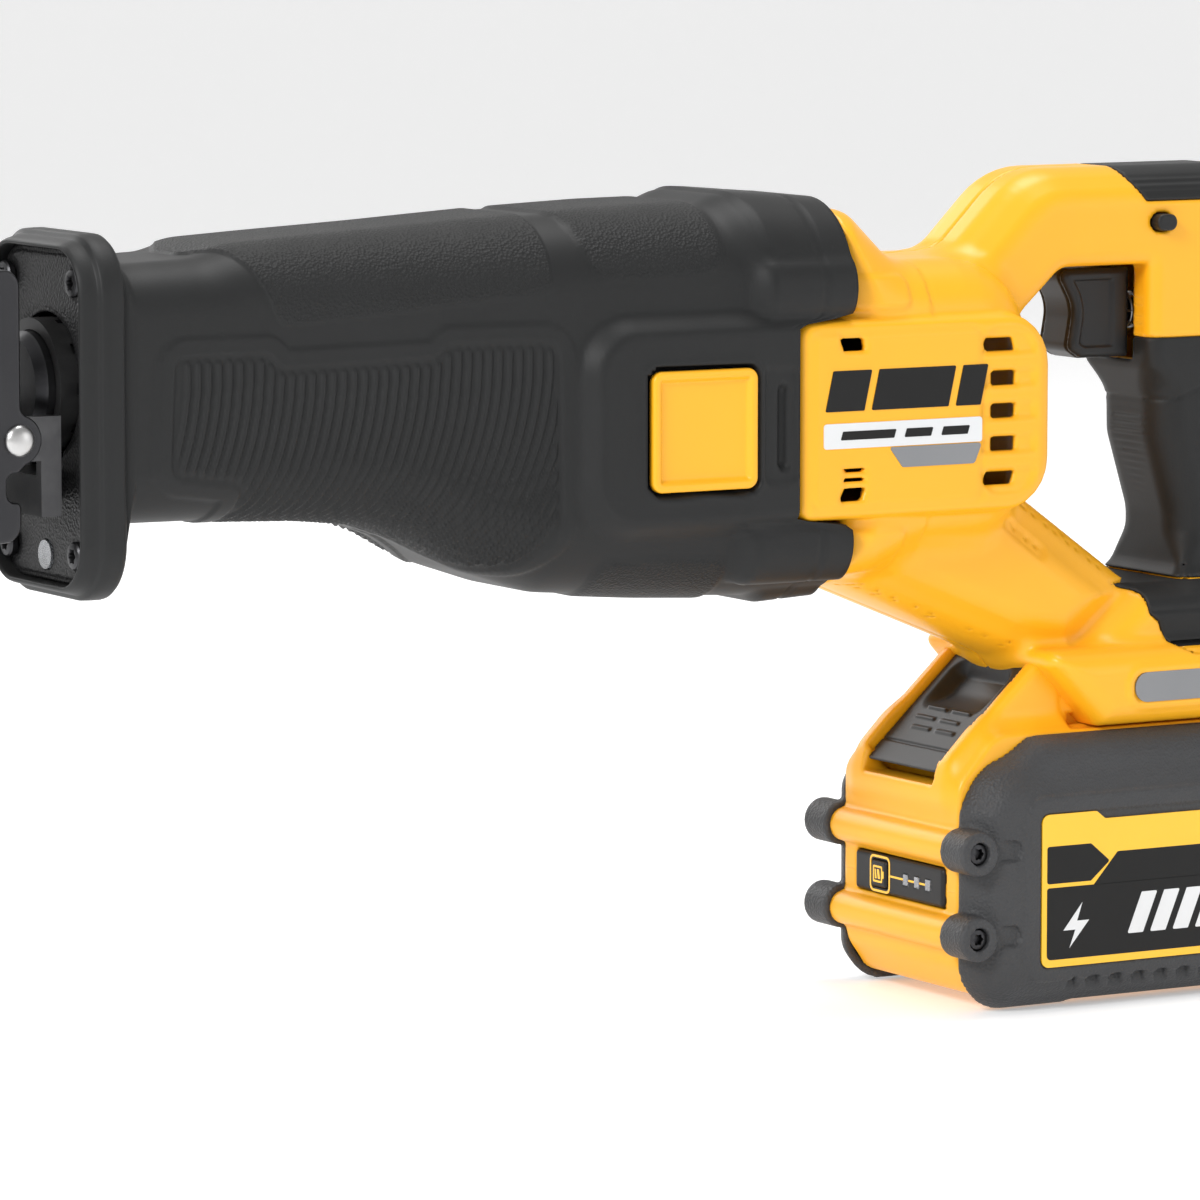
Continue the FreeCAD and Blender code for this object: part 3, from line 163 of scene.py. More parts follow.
def block(p, x, y, z, r=0.5):
    # a box from three (low, high) pairs with rounded edges
    q = [np.abs(c - (a + b) / 2) - (b - a) / 2 + r for c, (a, b) in zip(p, (x, y, z))]
    out = np.sqrt(sum(np.maximum(k, 0) ** 2 for k in q))
    return out + np.minimum(np.maximum(np.maximum(q[0], q[1]), q[2]), 0) - r


def rod(a, b, along, radius, span, r=0.5):
    # a cylinder with rounded ends; a and b run across it from its axis
    return both(np.hypot(a, b) - radius, np.abs(along - sum(span) / 2) - (span[1] - span[0]) / 2, r)


# signed distance from a rounded rectangle given by two (low, high) pairs
def rectDistance(u, v, uSpan, vSpan, r):
    a = np.abs(u - sum(uSpan) / 2) - (uSpan[1] - uSpan[0]) / 2 + r
    b = np.abs(v - sum(vSpan) / 2) - (vSpan[1] - vSpan[0]) / 2 + r
    return np.hypot(np.maximum(a, 0), np.maximum(b, 0)) + np.minimum(np.maximum(a, b), 0) - r


def netSurface(field, low, high, step):
    # The zero surface of a field: one vertex in each grid cell that it crosses, put at the mean of
    # the crossings on the cell's edges, then moved along the field's slope onto the surface.
    low, high = np.array(low, float), np.array(high, float)
    side = 8
    blocks = np.ceil((high - low) / step / side).astype(int) + 1
    count = blocks * side
    axes = [low[k] + step * np.arange(count[k]) for k in range(3)]
    mids = [a.reshape(-1, side).mean(1) for a in axes]
    rough = field(*np.meshgrid(*mids, indexing="ij"))
    near = np.abs(rough) < side * step * 0.5 * 1.74 * 1.25 + 2 * step
    spread = lambda a: a.repeat(side, 0).repeat(side, 1).repeat(side, 2)
    values = spread(rough).astype(np.float32)
    i, j, k = np.nonzero(spread(near))
    values[i, j, k] = field(axes[0][i], axes[1][j], axes[2][k])
    values = np.where(values == 0, 1e-6, values)
    inside = values < 0
    corner = [(a, b, c) for a in (0, 1) for b in (0, 1) for c in (0, 1)]
    part = lambda array, o: array[o[0]:count[0] - 1 + o[0], o[1]:count[1] - 1 + o[1],
                                  o[2]:count[2] - 1 + o[2]]
    total = sum(part(inside, o).astype(np.int8) for o in corner)
    i, j, k = np.nonzero((total > 0) & (total < 8))
    number = np.full(count - 1, -1, np.int32)
    number[i, j, k] = np.arange(len(i))
    held = [values[i + a, j + b, k + c] for a, b, c in corner]
    place, hits = np.zeros((len(i), 3)), np.zeros(len(i))
    for m, o in enumerate(corner):
        for axis in range(3):
            if o[axis]:
                continue
            n = m + (4, 2, 1)[axis]
            crossed = (held[m] < 0) != (held[n] < 0)
            t = np.where(crossed, held[m] / np.where(crossed, held[m] - held[n], 1), 0)
            for d in range(3):
                place[:, d] += crossed * (o[d] + (t if d == axis else 0))
            hits += crossed
    points = low + (np.stack([i, j, k], -1) + place / hits[:, None]) * step
    faces = []
    for axis in range(3):
        u, v = (axis + 1) % 3, (axis + 2) % 3
        first = [slice(1, count[d] - 1) for d in range(3)]
        first[axis] = slice(0, count[axis] - 1)
        second = list(first)
        second[axis] = slice(1, count[axis])
        a, b = inside[tuple(first)], inside[tuple(second)]
        cells = np.stack(np.nonzero(a != b), -1)
        solidFirst = a[tuple(cells.T)]
        cells = cells + [0 if d == axis else 1 for d in range(3)]
        eu, ev = np.eye(3, dtype=int)[u], np.eye(3, dtype=int)[v]
        around = np.stack([number[tuple((cells - back).T)] for back in (eu + ev, ev, 0 * eu, eu)], -1)
        faces.append(np.where(solidFirst[:, None], around, around[:, ::-1]))
    h = 0.2 * step
    start = points.copy()
    for _ in range(3):
        x, y, z = points.T
        here = field(x, y, z)
        slope = np.stack([field(x + h, y, z) - field(x - h, y, z),
                          field(x, y + h, z) - field(x, y - h, z),
                          field(x, y, z + h) - field(x, y, z - h)], -1) / (2 * h)
        points = points - slope * (here / np.maximum((slope ** 2).sum(1), 0.3))[:, None]
        points = np.clip(points, start - 0.55 * step, start + 0.55 * step)
    return points, np.concatenate(faces)


def flipped(points, faces):
    # the same piece on the other side of the saw's middle plane
    return points * [1, -1, 1], faces[:, ::-1]


view = {"turn": 30.3, "rise": 6.5, "place": (-1.2036, -1.7731, 0.3578), "lens": 216.84}
studio = {"floorRadius": 3.6, "wallHeight": 2.4, "world": 0.48, "glow": 0.3, "paint": 0.86,
          "lamps": [("key", (-1.7, -0.75, 1.25), 0.6, 25), ("fill", (1.3, -1.9, 0.7), 1.2, 5),
                    ("top", (0.1, 0.2, 2.0), 0.9, 19), ("back", (-0.4, 2.0, 1.0), 1.2, 14)]}


def placed(*columns):
    # a matrix from its three axes and its place
    matrix = np.eye(4)
    matrix[:3] = np.stack(columns, 1)
    return Matrix(matrix.tolist())


# the camera looks along its turn about the vertical and its rise above the level
def makeCamera():
    a, b = math.radians(view["turn"]), math.radians(view["rise"])
    right = (math.cos(a), -math.sin(a), 0.0)
    back = (-math.sin(a) * math.cos(b), -math.cos(a) * math.cos(b), math.sin(b))
    up = np.cross(back, right)
    data = bpy.data.cameras.new("camera")
    data.lens, data.sensor_width, data.clip_end = view["lens"], 36.0, 50.0
    camera = bpy.data.objects.new("camera", data)
    bpy.context.scene.collection.objects.link(camera)
    camera.matrix_world = placed(right, up, back, view["place"])
    bpy.context.scene.camera = camera
    bpy.context.scene.view_settings.view_transform = "Standard"


def makeStudio():
    # a pale floor whose rim rises in a soft curve all round
    t = np.linspace(0, 1, 40)
    bend = np.clip((t - 0.5) / 0.5, 0, 1) * math.pi / 2
    radius = np.where(t < 0.5, t * 2 * studio["floorRadius"],
                      studio["floorRadius"] + studio["wallHeight"] * np.sin(bend))
    height = studio["wallHeight"] * (1 - np.cos(bend)) - 0.0003
    angle = np.linspace(0, 2 * math.pi, 96, endpoint=False)
    points = np.stack([radius[:, None] * np.cos(angle), radius[:, None] * np.sin(angle),
                       height[:, None] + 0 * angle], -1).reshape(-1, 3)
    mesh = bpy.data.meshes.new("studio_floor")
    mesh.from_pydata(points.tolist(), [], gridFaces(40, 96)[:, ::-1].tolist())
    mesh.polygons.foreach_set("use_smooth", np.ones(len(mesh.polygons), bool))
    floor = bpy.data.objects.new("studio_floor", mesh)
    bpy.context.scene.collection.objects.link(floor)
    paint = bpy.data.materials.new("studio_paint")
    paint.use_nodes = True
    shader = paint.node_tree.nodes["Principled BSDF"]
    shader.inputs["Base Color"].default_value = (*3 * [studio["paint"]], 1)
    shader.inputs["Roughness"].default_value = 0.9
    shader.inputs["Emission Color"].default_value = (1, 1, 1, 1)
    shader.inputs["Emission Strength"].default_value = studio["glow"]
    mesh.materials.append(paint)
    world = bpy.data.worlds.new("studio_world")
    bpy.context.scene.world = world
    world.use_nodes = True
    world.node_tree.nodes["Background"].inputs["Color"].default_value = (1, 1, 1, 1)
    world.node_tree.nodes["Background"].inputs["Strength"].default_value = studio["world"]
    for name, place, size, power in studio["lamps"]:
        data = bpy.data.lights.new(name, "AREA")
        data.energy, data.size = power, size
        lamp = bpy.data.objects.new(name, data)
        bpy.context.scene.collection.objects.link(lamp)
        aim = np.array([-0.13, 0.0, 0.14]) - np.array(place)
        back = -aim / np.linalg.norm(aim)
        side = np.cross((0, 0, 1), back)
        side /= np.linalg.norm(side)
        lamp.matrix_world = placed(side, np.cross(back, side), back, place)


# a shader group with named inputs, each with its type and value, and named outputs
def shaderGroup(name, inputs, outputs):
    tree = bpy.data.node_groups.new(name, "ShaderNodeTree")
    for label, value in inputs:
        socket = tree.interface.new_socket(label, in_out="INPUT", socket_type="NodeSocketFloat")
        socket.default_value = value
    for label in outputs:
        tree.interface.new_socket(label, in_out="OUTPUT", socket_type="NodeSocketFloat")
    return tree, tree.nodes.new("NodeGroupInput").outputs, tree.nodes.new("NodeGroupOutput").inputs


# one math node whose inputs are sockets or plain numbers
def mathNode(tree, operation, a, b=None, clamp=False):
    node = tree.nodes.new("ShaderNodeMath")
    node.operation, node.use_clamp = operation, clamp
    for socket, value in zip(node.inputs, (a, b)):
        if isinstance(value, (int, float)):
            socket.default_value = value
        elif value is not None:
            tree.links.new(value, socket)
    return node.outputs[0]


# noise in object coordinates, stretched along an axis when a stretch is given
def noiseNode(tree, scale, detail=3.0, stretch=(1, 1, 1)):
    coordinate = tree.nodes.new("ShaderNodeTexCoord").outputs["Object"]
    mapping = tree.nodes.new("ShaderNodeMapping")
    mapping.inputs["Scale"].default_value = stretch
    tree.links.new(coordinate, mapping.inputs["Vector"])
    noise = tree.nodes.new("ShaderNodeTexNoise")
    noise.inputs["Detail"].default_value = detail
    tree.links.new(mapping.outputs["Vector"], noise.inputs["Vector"])
    if isinstance(scale, (int, float)):
        noise.inputs["Scale"].default_value = scale
    else:
        tree.links.new(scale, noise.inputs["Scale"])
    return noise.outputs["Fac"]


def makeGroups():
    # moulded grain: a fine even height, and broad soft patches
    tree, take, give = shaderGroup("moulded_grain", [("Grain scale", 2500), ("Patch scale", 25)],
                                   ["Height", "Patch"])
    tree.links.new(noiseNode(tree, take["Grain scale"], 2.0), give["Height"])
    tree.links.new(noiseNode(tree, take["Patch scale"], 4.0), give["Patch"])
    groups["grain"] = tree
    # edge wear: raised edges, broken up by noise
    tree, take, give = shaderGroup("edge_wear", [("Start", 0.53), ("Full", 0.62), ("Break up", 180)],
                                   ["Wear"])
    point = tree.nodes.new("ShaderNodeNewGeometry").outputs["Pointiness"]
    span = mathNode(tree, "SUBTRACT", take["Full"], take["Start"])
    worn = mathNode(tree, "DIVIDE", mathNode(tree, "SUBTRACT", point, take["Start"]), span, clamp=True)
    broken = mathNode(tree, "MULTIPLY", worn, noiseNode(tree, take["Break up"], 4.0))
    tree.links.new(mathNode(tree, "MULTIPLY", broken, 1.4, clamp=True), give["Wear"])
    groups["wear"] = tree
    # settled dust: faces that look up, in soft patches
    tree, take, give = shaderGroup("settled_dust", [("Amount", 0.3)], ["Dust"])
    normal = tree.nodes.new("ShaderNodeNewGeometry").outputs["Normal"]
    split = tree.nodes.new("ShaderNodeSeparateXYZ")
    tree.links.new(normal, split.inputs[0])
    up = mathNode(tree, "POWER", mathNode(tree, "MAXIMUM", split.outputs["Z"], 0.0), 3.0)
    soft = mathNode(tree, "MULTIPLY", up, noiseNode(tree, 60, 5.0))
    tree.links.new(mathNode(tree, "MULTIPLY", soft, take["Amount"], clamp=True), give["Dust"])
    groups["dust"] = tree


# a copy of a shared group in this material, with its own values
def placeGroup(tree, name, **values):
    node = tree.nodes.new("ShaderNodeGroup")
    node.node_tree = groups[name]
    for label, value in values.items():
        node.inputs[label.replace("_", " ")].default_value = value
    return node.outputs


# two colors mixed by a mask
def mixColor(tree, factor, a, b):
    node = tree.nodes.new("ShaderNodeMix")
    node.data_type = "RGBA"
    tree.links.new(factor, node.inputs[0])
    for socket, value in ((node.inputs[6], a), (node.inputs[7], b)):
        if isinstance(value, tuple):
            socket.default_value = (*value, 1)
        else:
            tree.links.new(value, socket)
    return node.outputs[2]


def makeFinish(name, color, tone, rough, roughShift=0.08, grain=2500, depth=0.02, metal=0.0, coat=0.0,
               wear=0.0, wearColor=(0.5, 0.5, 0.5), dust=0.0, brushed=None, gripDepth=0.0, clear=0.0,
               shine=0.5):
    # color and tone are mixed in soft patches; depth and gripDepth are heights of the grain in mm
    material = bpy.data.materials.new(name)
    material.use_nodes = True
    tree = material.node_tree
    shader = tree.nodes["Principled BSDF"]
    grained = placeGroup(tree, "grain", Grain_scale=grain)
    base = mixColor(tree, grained["Patch"], color, tone)
    roughness = mathNode(tree, "MULTIPLY_ADD", grained["Patch"], roughShift)
    roughness.node.inputs[2].default_value = rough - roughShift / 2
    if wear:
        worn = placeGroup(tree, "wear")["Wear"]
        base = mixColor(tree, mathNode(tree, "MULTIPLY", worn, wear), base, wearColor)
    if dust:
        base = mixColor(tree, placeGroup(tree, "dust", Amount=dust)["Dust"], base, (0.55, 0.53, 0.5))
    height = mathNode(tree, "MULTIPLY", grained["Height"], depth)
    if brushed:
        lines = noiseNode(tree, 900, 3.0, brushed)
        height = mathNode(tree, "ADD", height, mathNode(tree, "MULTIPLY", lines, 0.012))
        roughness = mathNode(tree, "ADD", roughness, mathNode(tree, "MULTIPLY", lines, 0.12))
    if gripDepth:
        mark = tree.nodes.new("ShaderNodeAttribute")
        mark.attribute_name = "grip"
        stipple = tree.nodes.new("ShaderNodeTexVoronoi")
        stipple.inputs["Scale"].default_value = 1150
        tree.links.new(tree.nodes.new("ShaderNodeTexCoord").outputs["Object"], stipple.inputs["Vector"])
        pits = mathNode(tree, "MULTIPLY", stipple.outputs["Distance"], gripDepth)
        height = mathNode(tree, "ADD", height, mathNode(tree, "MULTIPLY", pits, mark.outputs["Fac"]))
        rougher = mathNode(tree, "MULTIPLY", mark.outputs["Fac"], 0.06)
        roughness = mathNode(tree, "ADD", roughness, rougher)
    bump = tree.nodes.new("ShaderNodeBump")
    bump.inputs["Distance"].default_value = mm
    bump.inputs["Strength"].default_value = 1.0
    tree.links.new(height, bump.inputs["Height"])
    tree.links.new(bump.outputs["Normal"], shader.inputs["Normal"])
    tree.links.new(base, shader.inputs["Base Color"])
    tree.links.new(roughness, shader.inputs["Roughness"])
    shader.inputs["Metallic"].default_value = metal
    shader.inputs["Coat Weight"].default_value = coat
    shader.inputs["Coat Roughness"].default_value = 0.12
    shader.inputs["Transmission Weight"].default_value = clear
    shader.inputs["Specular IOR Level"].default_value = shine
    finishes[name] = material
    return material


# color, tone, roughness and its shift, grain scale and depth, then what only some finishes have
finishTable = {
    "yellow_plastic": ((0.94, 0.45, 0.010), (0.89, 0.41, 0.008), 0.36, 0.06, 3200, 0.012,
                       dict(wear=0.10, wearColor=(1.0, 0.66, 0.12), dust=0.03)),
    "black_rubber": ((0.010, 0.0104, 0.0106), (0.015, 0.0155, 0.016), 0.52, 0.10, 1800, 0.03,
                     dict(wear=0.35, wearColor=(0.08, 0.08, 0.08), dust=0.04, gripDepth=0.30,
                          shine=0.28)),
    "black_plastic": ((0.009, 0.009, 0.0095), (0.014, 0.014, 0.0145), 0.40, 0.08, 2600, 0.02,
                      dict(wear=0.30, wearColor=(0.07, 0.07, 0.07), dust=0.03, gripDepth=0.2,
                           shine=0.3)),
    "charcoal_plastic": ((0.036, 0.037, 0.039), (0.052, 0.053, 0.056), 0.46, 0.08, 1500, 0.07,
                         dict(wear=0.30, wearColor=(0.16, 0.16, 0.17), dust=0.05, gripDepth=0.35,
                              shine=0.35)),
    "gear_housing": ((0.045, 0.046, 0.048), (0.03, 0.031, 0.033), 0.5, 0.12, 900, 0.05,
                     dict(metal=0.7, wear=0.4, wearColor=(0.3, 0.3, 0.3), dust=0.1)),
    "dark_steel": ((0.035, 0.035, 0.038), (0.06, 0.06, 0.063), 0.38, 0.14, 1400, 0.015,
                   dict(metal=1.0, wear=0.25, wearColor=(0.2, 0.2, 0.2), dust=0.03)),
    "bright_steel": ((0.62, 0.61, 0.60), (0.46, 0.46, 0.46), 0.24, 0.12, 1800, 0.006,
                     dict(metal=1.0, wear=0.3, wearColor=(0.9, 0.9, 0.9), brushed=(1, 1, 12))),
    "zinc_steel": ((0.42, 0.43, 0.45), (0.52, 0.52, 0.50), 0.34, 0.12, 1200, 0.01,
                   dict(metal=1.0, wear=0.3, wearColor=(0.8, 0.8, 0.8))),
    "copper_wire": ((0.72, 0.33, 0.14), (0.55, 0.22, 0.08), 0.3, 0.1, 900, 0.03,
                    dict(metal=1.0, brushed=(20, 1, 1))),
    "bronze": ((0.52, 0.36, 0.16), (0.42, 0.28, 0.12), 0.4, 0.1, 2200, 0.02,
               dict(metal=1.0)),
    "lamp_lens": ((0.85, 0.87, 0.9), (0.8, 0.83, 0.88), 0.08, 0.03, 900, 0.004,
                  dict(coat=0.3, clear=0.8)),
    "label_film": ((0.010, 0.010, 0.011), (0.018, 0.018, 0.019), 0.22, 0.06, 2000, 0.006,
                   dict(coat=0.3)),
    "label_silver": ((0.66, 0.67, 0.68), (0.74, 0.75, 0.76), 0.34, 0.1, 2400, 0.006,
                     dict(metal=0.55, brushed=(1, 1, 14))),
    "grey_badge": ((0.20, 0.205, 0.215), (0.25, 0.255, 0.265), 0.36, 0.1, 2400, 0.008,
                   dict(metal=0.3, brushed=(1, 1, 14))),
    "label_print": ((0.004, 0.004, 0.004), (0.008, 0.008, 0.008), 0.38, 0.06, 2400, 0.006,
                    dict(shine=0.25)),
    "label_yellow": ((0.96, 0.55, 0.02), (0.92, 0.50, 0.015), 0.26, 0.05, 2400, 0.004,
                     dict(coat=0.3)),
    "green_board": ((0.02, 0.13, 0.06), (0.03, 0.16, 0.07), 0.35, 0.1, 1200, 0.02,
                    dict()),
    "cell_wrap": ((0.03, 0.16, 0.32), (0.04, 0.19, 0.36), 0.3, 0.06, 900, 0.01,
                  dict(coat=0.2)),
    "wire_cover": ((0.5, 0.02, 0.015), (0.42, 0.02, 0.012), 0.4, 0.08, 1400, 0.02,
                   dict()),
}


def makeFinishes():
    makeGroups()
    for name, (*basics, extras) in finishTable.items():
        makeFinish(name, *basics, **extras)


groups, finishes = {}, {}
makeCamera()
makeStudio()
makeFinishes()
slotOf = {part["node"]: part["material_slot"] for part in frame["record"]["subparts"]}
for nodeName, piece in frame["nodes"].items():
    piece.data.materials.clear()
    piece.data.materials.append(finishes[slotOf[nodeName]])
print("stage: camera, light and finishes are ready")


boot = {
    # x, lowest z, highest z, half width and corner radius of the sleeve
    "sections": [(-107.4, 125.4, 235.2, 37.0, 22), (-134.1, 124.8, 237.5, 38.0, 24),
                 (-167.5, 126.7, 237.1, 38.0, 24), (-200.3, 129.4, 235.8, 36.8, 23),
                 (-222.0, 136.6, 234.5, 35.6, 22), (-240.0, 146.6, 233.4, 34.3, 21),
                 (-254.9, 151.9, 232.6, 33.4, 20), (-275.0, 154.2, 231.5, 32.4, 18),
                 (-297.0, 155.1, 230.2, 31.6, 17), (-306.0, 155.3, 227.4, 31.2, 16),
                 (-331.0, 155.6, 226.4, 31.0, 15.5)],
    "collar": (135.0, 235.0, 32.0, 17.0),
    # x and inset from the collar's outside, from the back face round the rim into the mouth
    "rim": [(-333.4, 2.2), (-333.7, 1.0), (-334.6, 0.2), (-335.6, 0.0), (-338.0, 0.0), (-340.6, 0.1),
            (-341.1, 0.5), (-341.4, 1.3), (-341.9, 1.6), (-343.4, 2.0), (-345.2, 2.5), (-346.1, 2.9),
            (-346.5, 3.4), (-346.4, 3.9), (-345.7, 4.15), (-343.0, 4.2), (-337.0, 4.2)],
    "wall": 3.0, "rear": -107.4, "notch": -126.8, "notchZ": (147.0, 204.6), "notchFrom": -152.0,
    "bulge": ((-196.5, -100.0), (145.0, 208.0), 17.0, 5.6),
    "ribs": {"pitch": 3.15, "depth": 1.35, "sweep": 0.0072, "top": 197.0},
    "panel": [(-319.0, 201.8, 4), (-290.8, 201.8, 2.5), (-286.2, 197.6, 2.5), (-240.3, 198.6, 2.5),
              (-235.5, 202.4, 2.5), (-201.5, 202.2, 6), (-200.4, 149.0, 14), (-213.0, 136.0, 12),
              (-232.0, 127.0, 10), (-303.0, 141.0, 3), (-298.0, 165.0, 3), (-320.6, 168.6, 4)],
}


def bootSection(x):
    # the sleeve's low, high, half width and corner radius at x, eased between the listed sections
    table = np.array(boot["sections"])[::-1]
    fine = np.arange(-340.0, -100.0, 0.5)
    kernel = np.hanning(21)
    kernel /= kernel.sum()
    out = []
    for column in range(1, 5):
        values = np.interp(fine, table[:, 0], table[:, column])
        padded = np.pad(values, 10, mode="edge")
        out.append(np.interp(x, fine, np.convolve(padded, kernel, mode="valid")))
    return out


def ringAround(low, high, half, radius, counts=(12, 22, 56, 26, 12)):
    # half a rounded rectangle from the top middle down the left side to the bottom middle:
    # y, z, outward normal, distance run from the top and height unrolled along the side
    low, high, half, radius = (np.asarray(a, float)[:, None] for a in (low, high, half, radius))
    flat, side = half - radius, high - low - 2 * radius
    top, arc1, wall, arc2, under = (np.arange(n)[None] / n for n in counts)
    under = under + 0 * low
    one, zero = np.ones_like(low), np.zeros_like(low)
    p1, p2 = arc1 * math.pi / 2, arc2 * math.pi / 2
    y = np.hstack([-flat * top, -flat - radius * np.sin(p1), -half + 0 * wall,
                   -flat - radius * np.cos(p2),
                   -flat * (1 - under)])
    z = np.hstack([high + 0 * top, high - radius + radius * np.cos(p1), high - radius - side * wall,
                   low + radius - radius * np.sin(p2), low + 0 * under])
    ny = np.hstack([zero + 0 * top, -np.sin(p1) * one, -one + 0 * wall, -np.cos(p2) * one, 0 * under])
    nz = np.hstack([one + 0 * top, np.cos(p1) * one, zero + 0 * wall, -np.sin(p2) * one,
                    -1 + 0 * under])
    run = np.hstack([flat * top, flat + radius * p1, flat + radius * math.pi / 2 + side * wall,
                     flat + radius * math.pi / 2 + side + radius * p2,
                     flat + radius * math.pi + side + flat * under])
    unrolled = high - radius - (run - flat - radius * math.pi / 2)
    return y, z, ny, nz, run, unrolled


def bootRelief(x, z, run, level, side):
    # how far each point stands out of the plain sleeve, and how stippled it is
    (bulgeX, bulgeZ, bulgeR, bulgeOut) = boot["bulge"]
    rise = bulgeOut * smooth(1.5, -6.0, rectDistance(x, level, bulgeX, bulgeZ, bulgeR))
    if side < 0:                                   # pocket of the release button
        pocket = rectDistance(x, level, (-176.8, -140.5), (157.4, 193.5), 4.5)
        rise -= 5.4 * smooth(0.5, -0.5, pocket) - 0.5 * smooth(3.0, 0.6, pocket) * (pocket > 0)
    panel = rectDistance(x, level, (-138.6, -127.6), (159.6, 191.8), 2.0)
    rise -= 0.8 * smooth(0.6, -0.6, panel)
    slit = rectDistance(x, level, (-133.4, -130.2), (163.2, 186.8), 1.5)
    rise -= 2.2 * smooth(0.7, -0.7, slit)
    # ribbed side panel in a raised frame
    edge = panelDistance(x, level)
    frameTop = np.minimum(smooth(5.4, 4.2, edge), smooth(208.0, 206.4, level))
    rise += 0.7 * frameTop * (edge > -1)
    inside = smooth(0.2, -1.0, edge)
    ribs = boot["ribs"]
    phase = x + ribs["sweep"] * np.maximum(ribs["top"] - level, 0) ** 2
    wave = np.tanh(2.2 * (np.cos(2 * math.pi * phase / ribs["pitch"]) + 0.15))
    fade = smooth(-0.6, -2.6, edge)
    sunk = -1.25 + ribs["depth"] * 0.5 * (1 + wave) * fade
    rise += inside * sunk * (edge <= 1) + 0.7 * (edge <= -1)
    # stippled pads on the shoulders
    lean = (run - 18.0) * 0.55
    pad1 = rectDistance(x - np.clip(lean, -6, 17) * smooth(-262, -296, x), run, (-300.5, -203.8),
                        (-60.0, 46.5), 4.0)
    pad2 = rectDistance(x - 0.3 * np.clip(lean, 0, 20) * smooth(-165, -188, x), run, (-195.0, -148.6),
                        (-60.0, 45.5), 6.0)
    pad3 = rectDistance(x, level, (-187.0, -146.0), (90.0, 138.2), 5.0)
    pads = np.minimum(np.minimum(pad1, pad2), pad3)
    rise += 0.8 * smooth(0.4, -0.5, pads) - 0.9 * np.exp(-((pads - 1.0) / 0.75) ** 2)
    # hump across the top, screw lugs and rear rim
    slope = np.clip(run - 20.0, 0, 30) * 0.1
    hump = smooth(-147.0, -138.0, x - slope) * smooth(58.0, 50.0, run)
    rise += 2.4 * hump + 0.8 * smooth(-137.5, -136.0, x - slope) * smooth(46.0, 40.0, run)
    rise += 3.0 * smooth(-131.0, -125.0, x) * smooth(127.0, 124.5, z)
    for middle, reach, front in ((214.0, 8.8, -140.4), (137.4, 9.6, -144.6)):
        across = np.clip((level - middle) / reach, -1, 1)
        bulging = np.sqrt(1 - across ** 2) * smooth(front - 1.5, front + 6.0, x)
        rise = np.maximum(rise, 5.0 * bulging + np.minimum(rise, 0.6) * (bulging > 0))
    rise -= 0.5 * np.exp(-((x + 117.8) / 0.7) ** 2) * ((level > 205) | (level < 146))
    return rise, smooth(0.2, -1.0, pads)


# the outside, the rim and the inside are rows of one closed grid: half rings from top to bottom,
# moved out along their normals by the relief, then the same for the right side
def makeBoot():
    fineX = np.concatenate([np.arange(boot["rear"], -199.0, -1.3), np.arange(-199.6, -322.0, -0.53),
                            np.arange(-323.0, -331.5, -1.3)])
    low, high, half, radius = bootSection(fineX)
    y, z, ny, nz, run, level = ringAround(low, high, half, radius)
    w = level
    end = boot["rear"] + (boot["notch"] - boot["rear"]) * np.minimum(
        smooth(boot["notchZ"][0] - 1.5, boot["notchZ"][0] + 1.5, w),
        smooth(boot["notchZ"][1] + 1.5, boot["notchZ"][1] - 1.5, w))
    start = boot["notchFrom"]
    share = (fineX[:, None] - start) / (boot["rear"] - start)
    x = np.where(share > 0, start + (end - start) * share, fineX[:, None] + 0 * w)
    rise, stipple = bootRelief(x, z, run, level, -1)
    riseRight = bootRelief(x, z, run, level, 1)[0]
    outer = np.stack([x, y + ny * rise, z + nz * rise], -1)
    outerRight = np.stack([x, -(y + ny * riseRight), z + nz * riseRight], -1)
    rimX, rimIn = np.array(boot["rim"]).T
    cLow, cHigh, cHalf, cRound = boot["collar"]
    ry, rz = ringAround(cLow + rimIn, cHigh - rimIn, cHalf - rimIn, np.maximum(cRound - rimIn, 3))[:2]
    rim = np.stack([rimX[:, None] + 0 * ry, ry, rz], -1)
    pick = np.concatenate([np.arange(len(fineX) - 1, 0, -12), [0]])
    wall = boot["wall"]
    iy, iz = ringAround(low[pick] + wall, high[pick] - wall, half[pick] - wall,
                        np.maximum(radius[pick] - wall, 4))[:2]
    inner = np.stack([x[pick], iy, iz], -1)
    left = np.concatenate([outer, rim, inner])
    right = np.concatenate([outerRight, rim * [1, -1, 1], inner * [1, -1, 1]])
    last = np.concatenate([np.stack([x[:, -1], 0 * low, low - rise[:, -1]], -1),
                           np.stack([rimX, 0 * rimX, cLow + rimIn], -1),
                           np.stack([x[pick, -1], 0 * low[pick], low[pick] + wall], -1)])
    points = np.concatenate([left, last[:, None], right[:, :0:-1]], 1)
    marks = np.zeros(points.shape[:2])
    marks[:len(outer), :left.shape[1]] = stipple
    marks[:len(outer), left.shape[1] + 1:] = stipple[:, :0:-1]
    rows, columns = points.shape[:2]
    makePiece("boot_sleeve", (points.reshape(-1, 3), gridFaces(rows, columns, True)[:, ::-1]),
              "black_rubber", "housing", ["rubber_boot"], marks)


panelDistance = outlineDistance(boot["panel"])
makeBoot()
print("stage: boot")


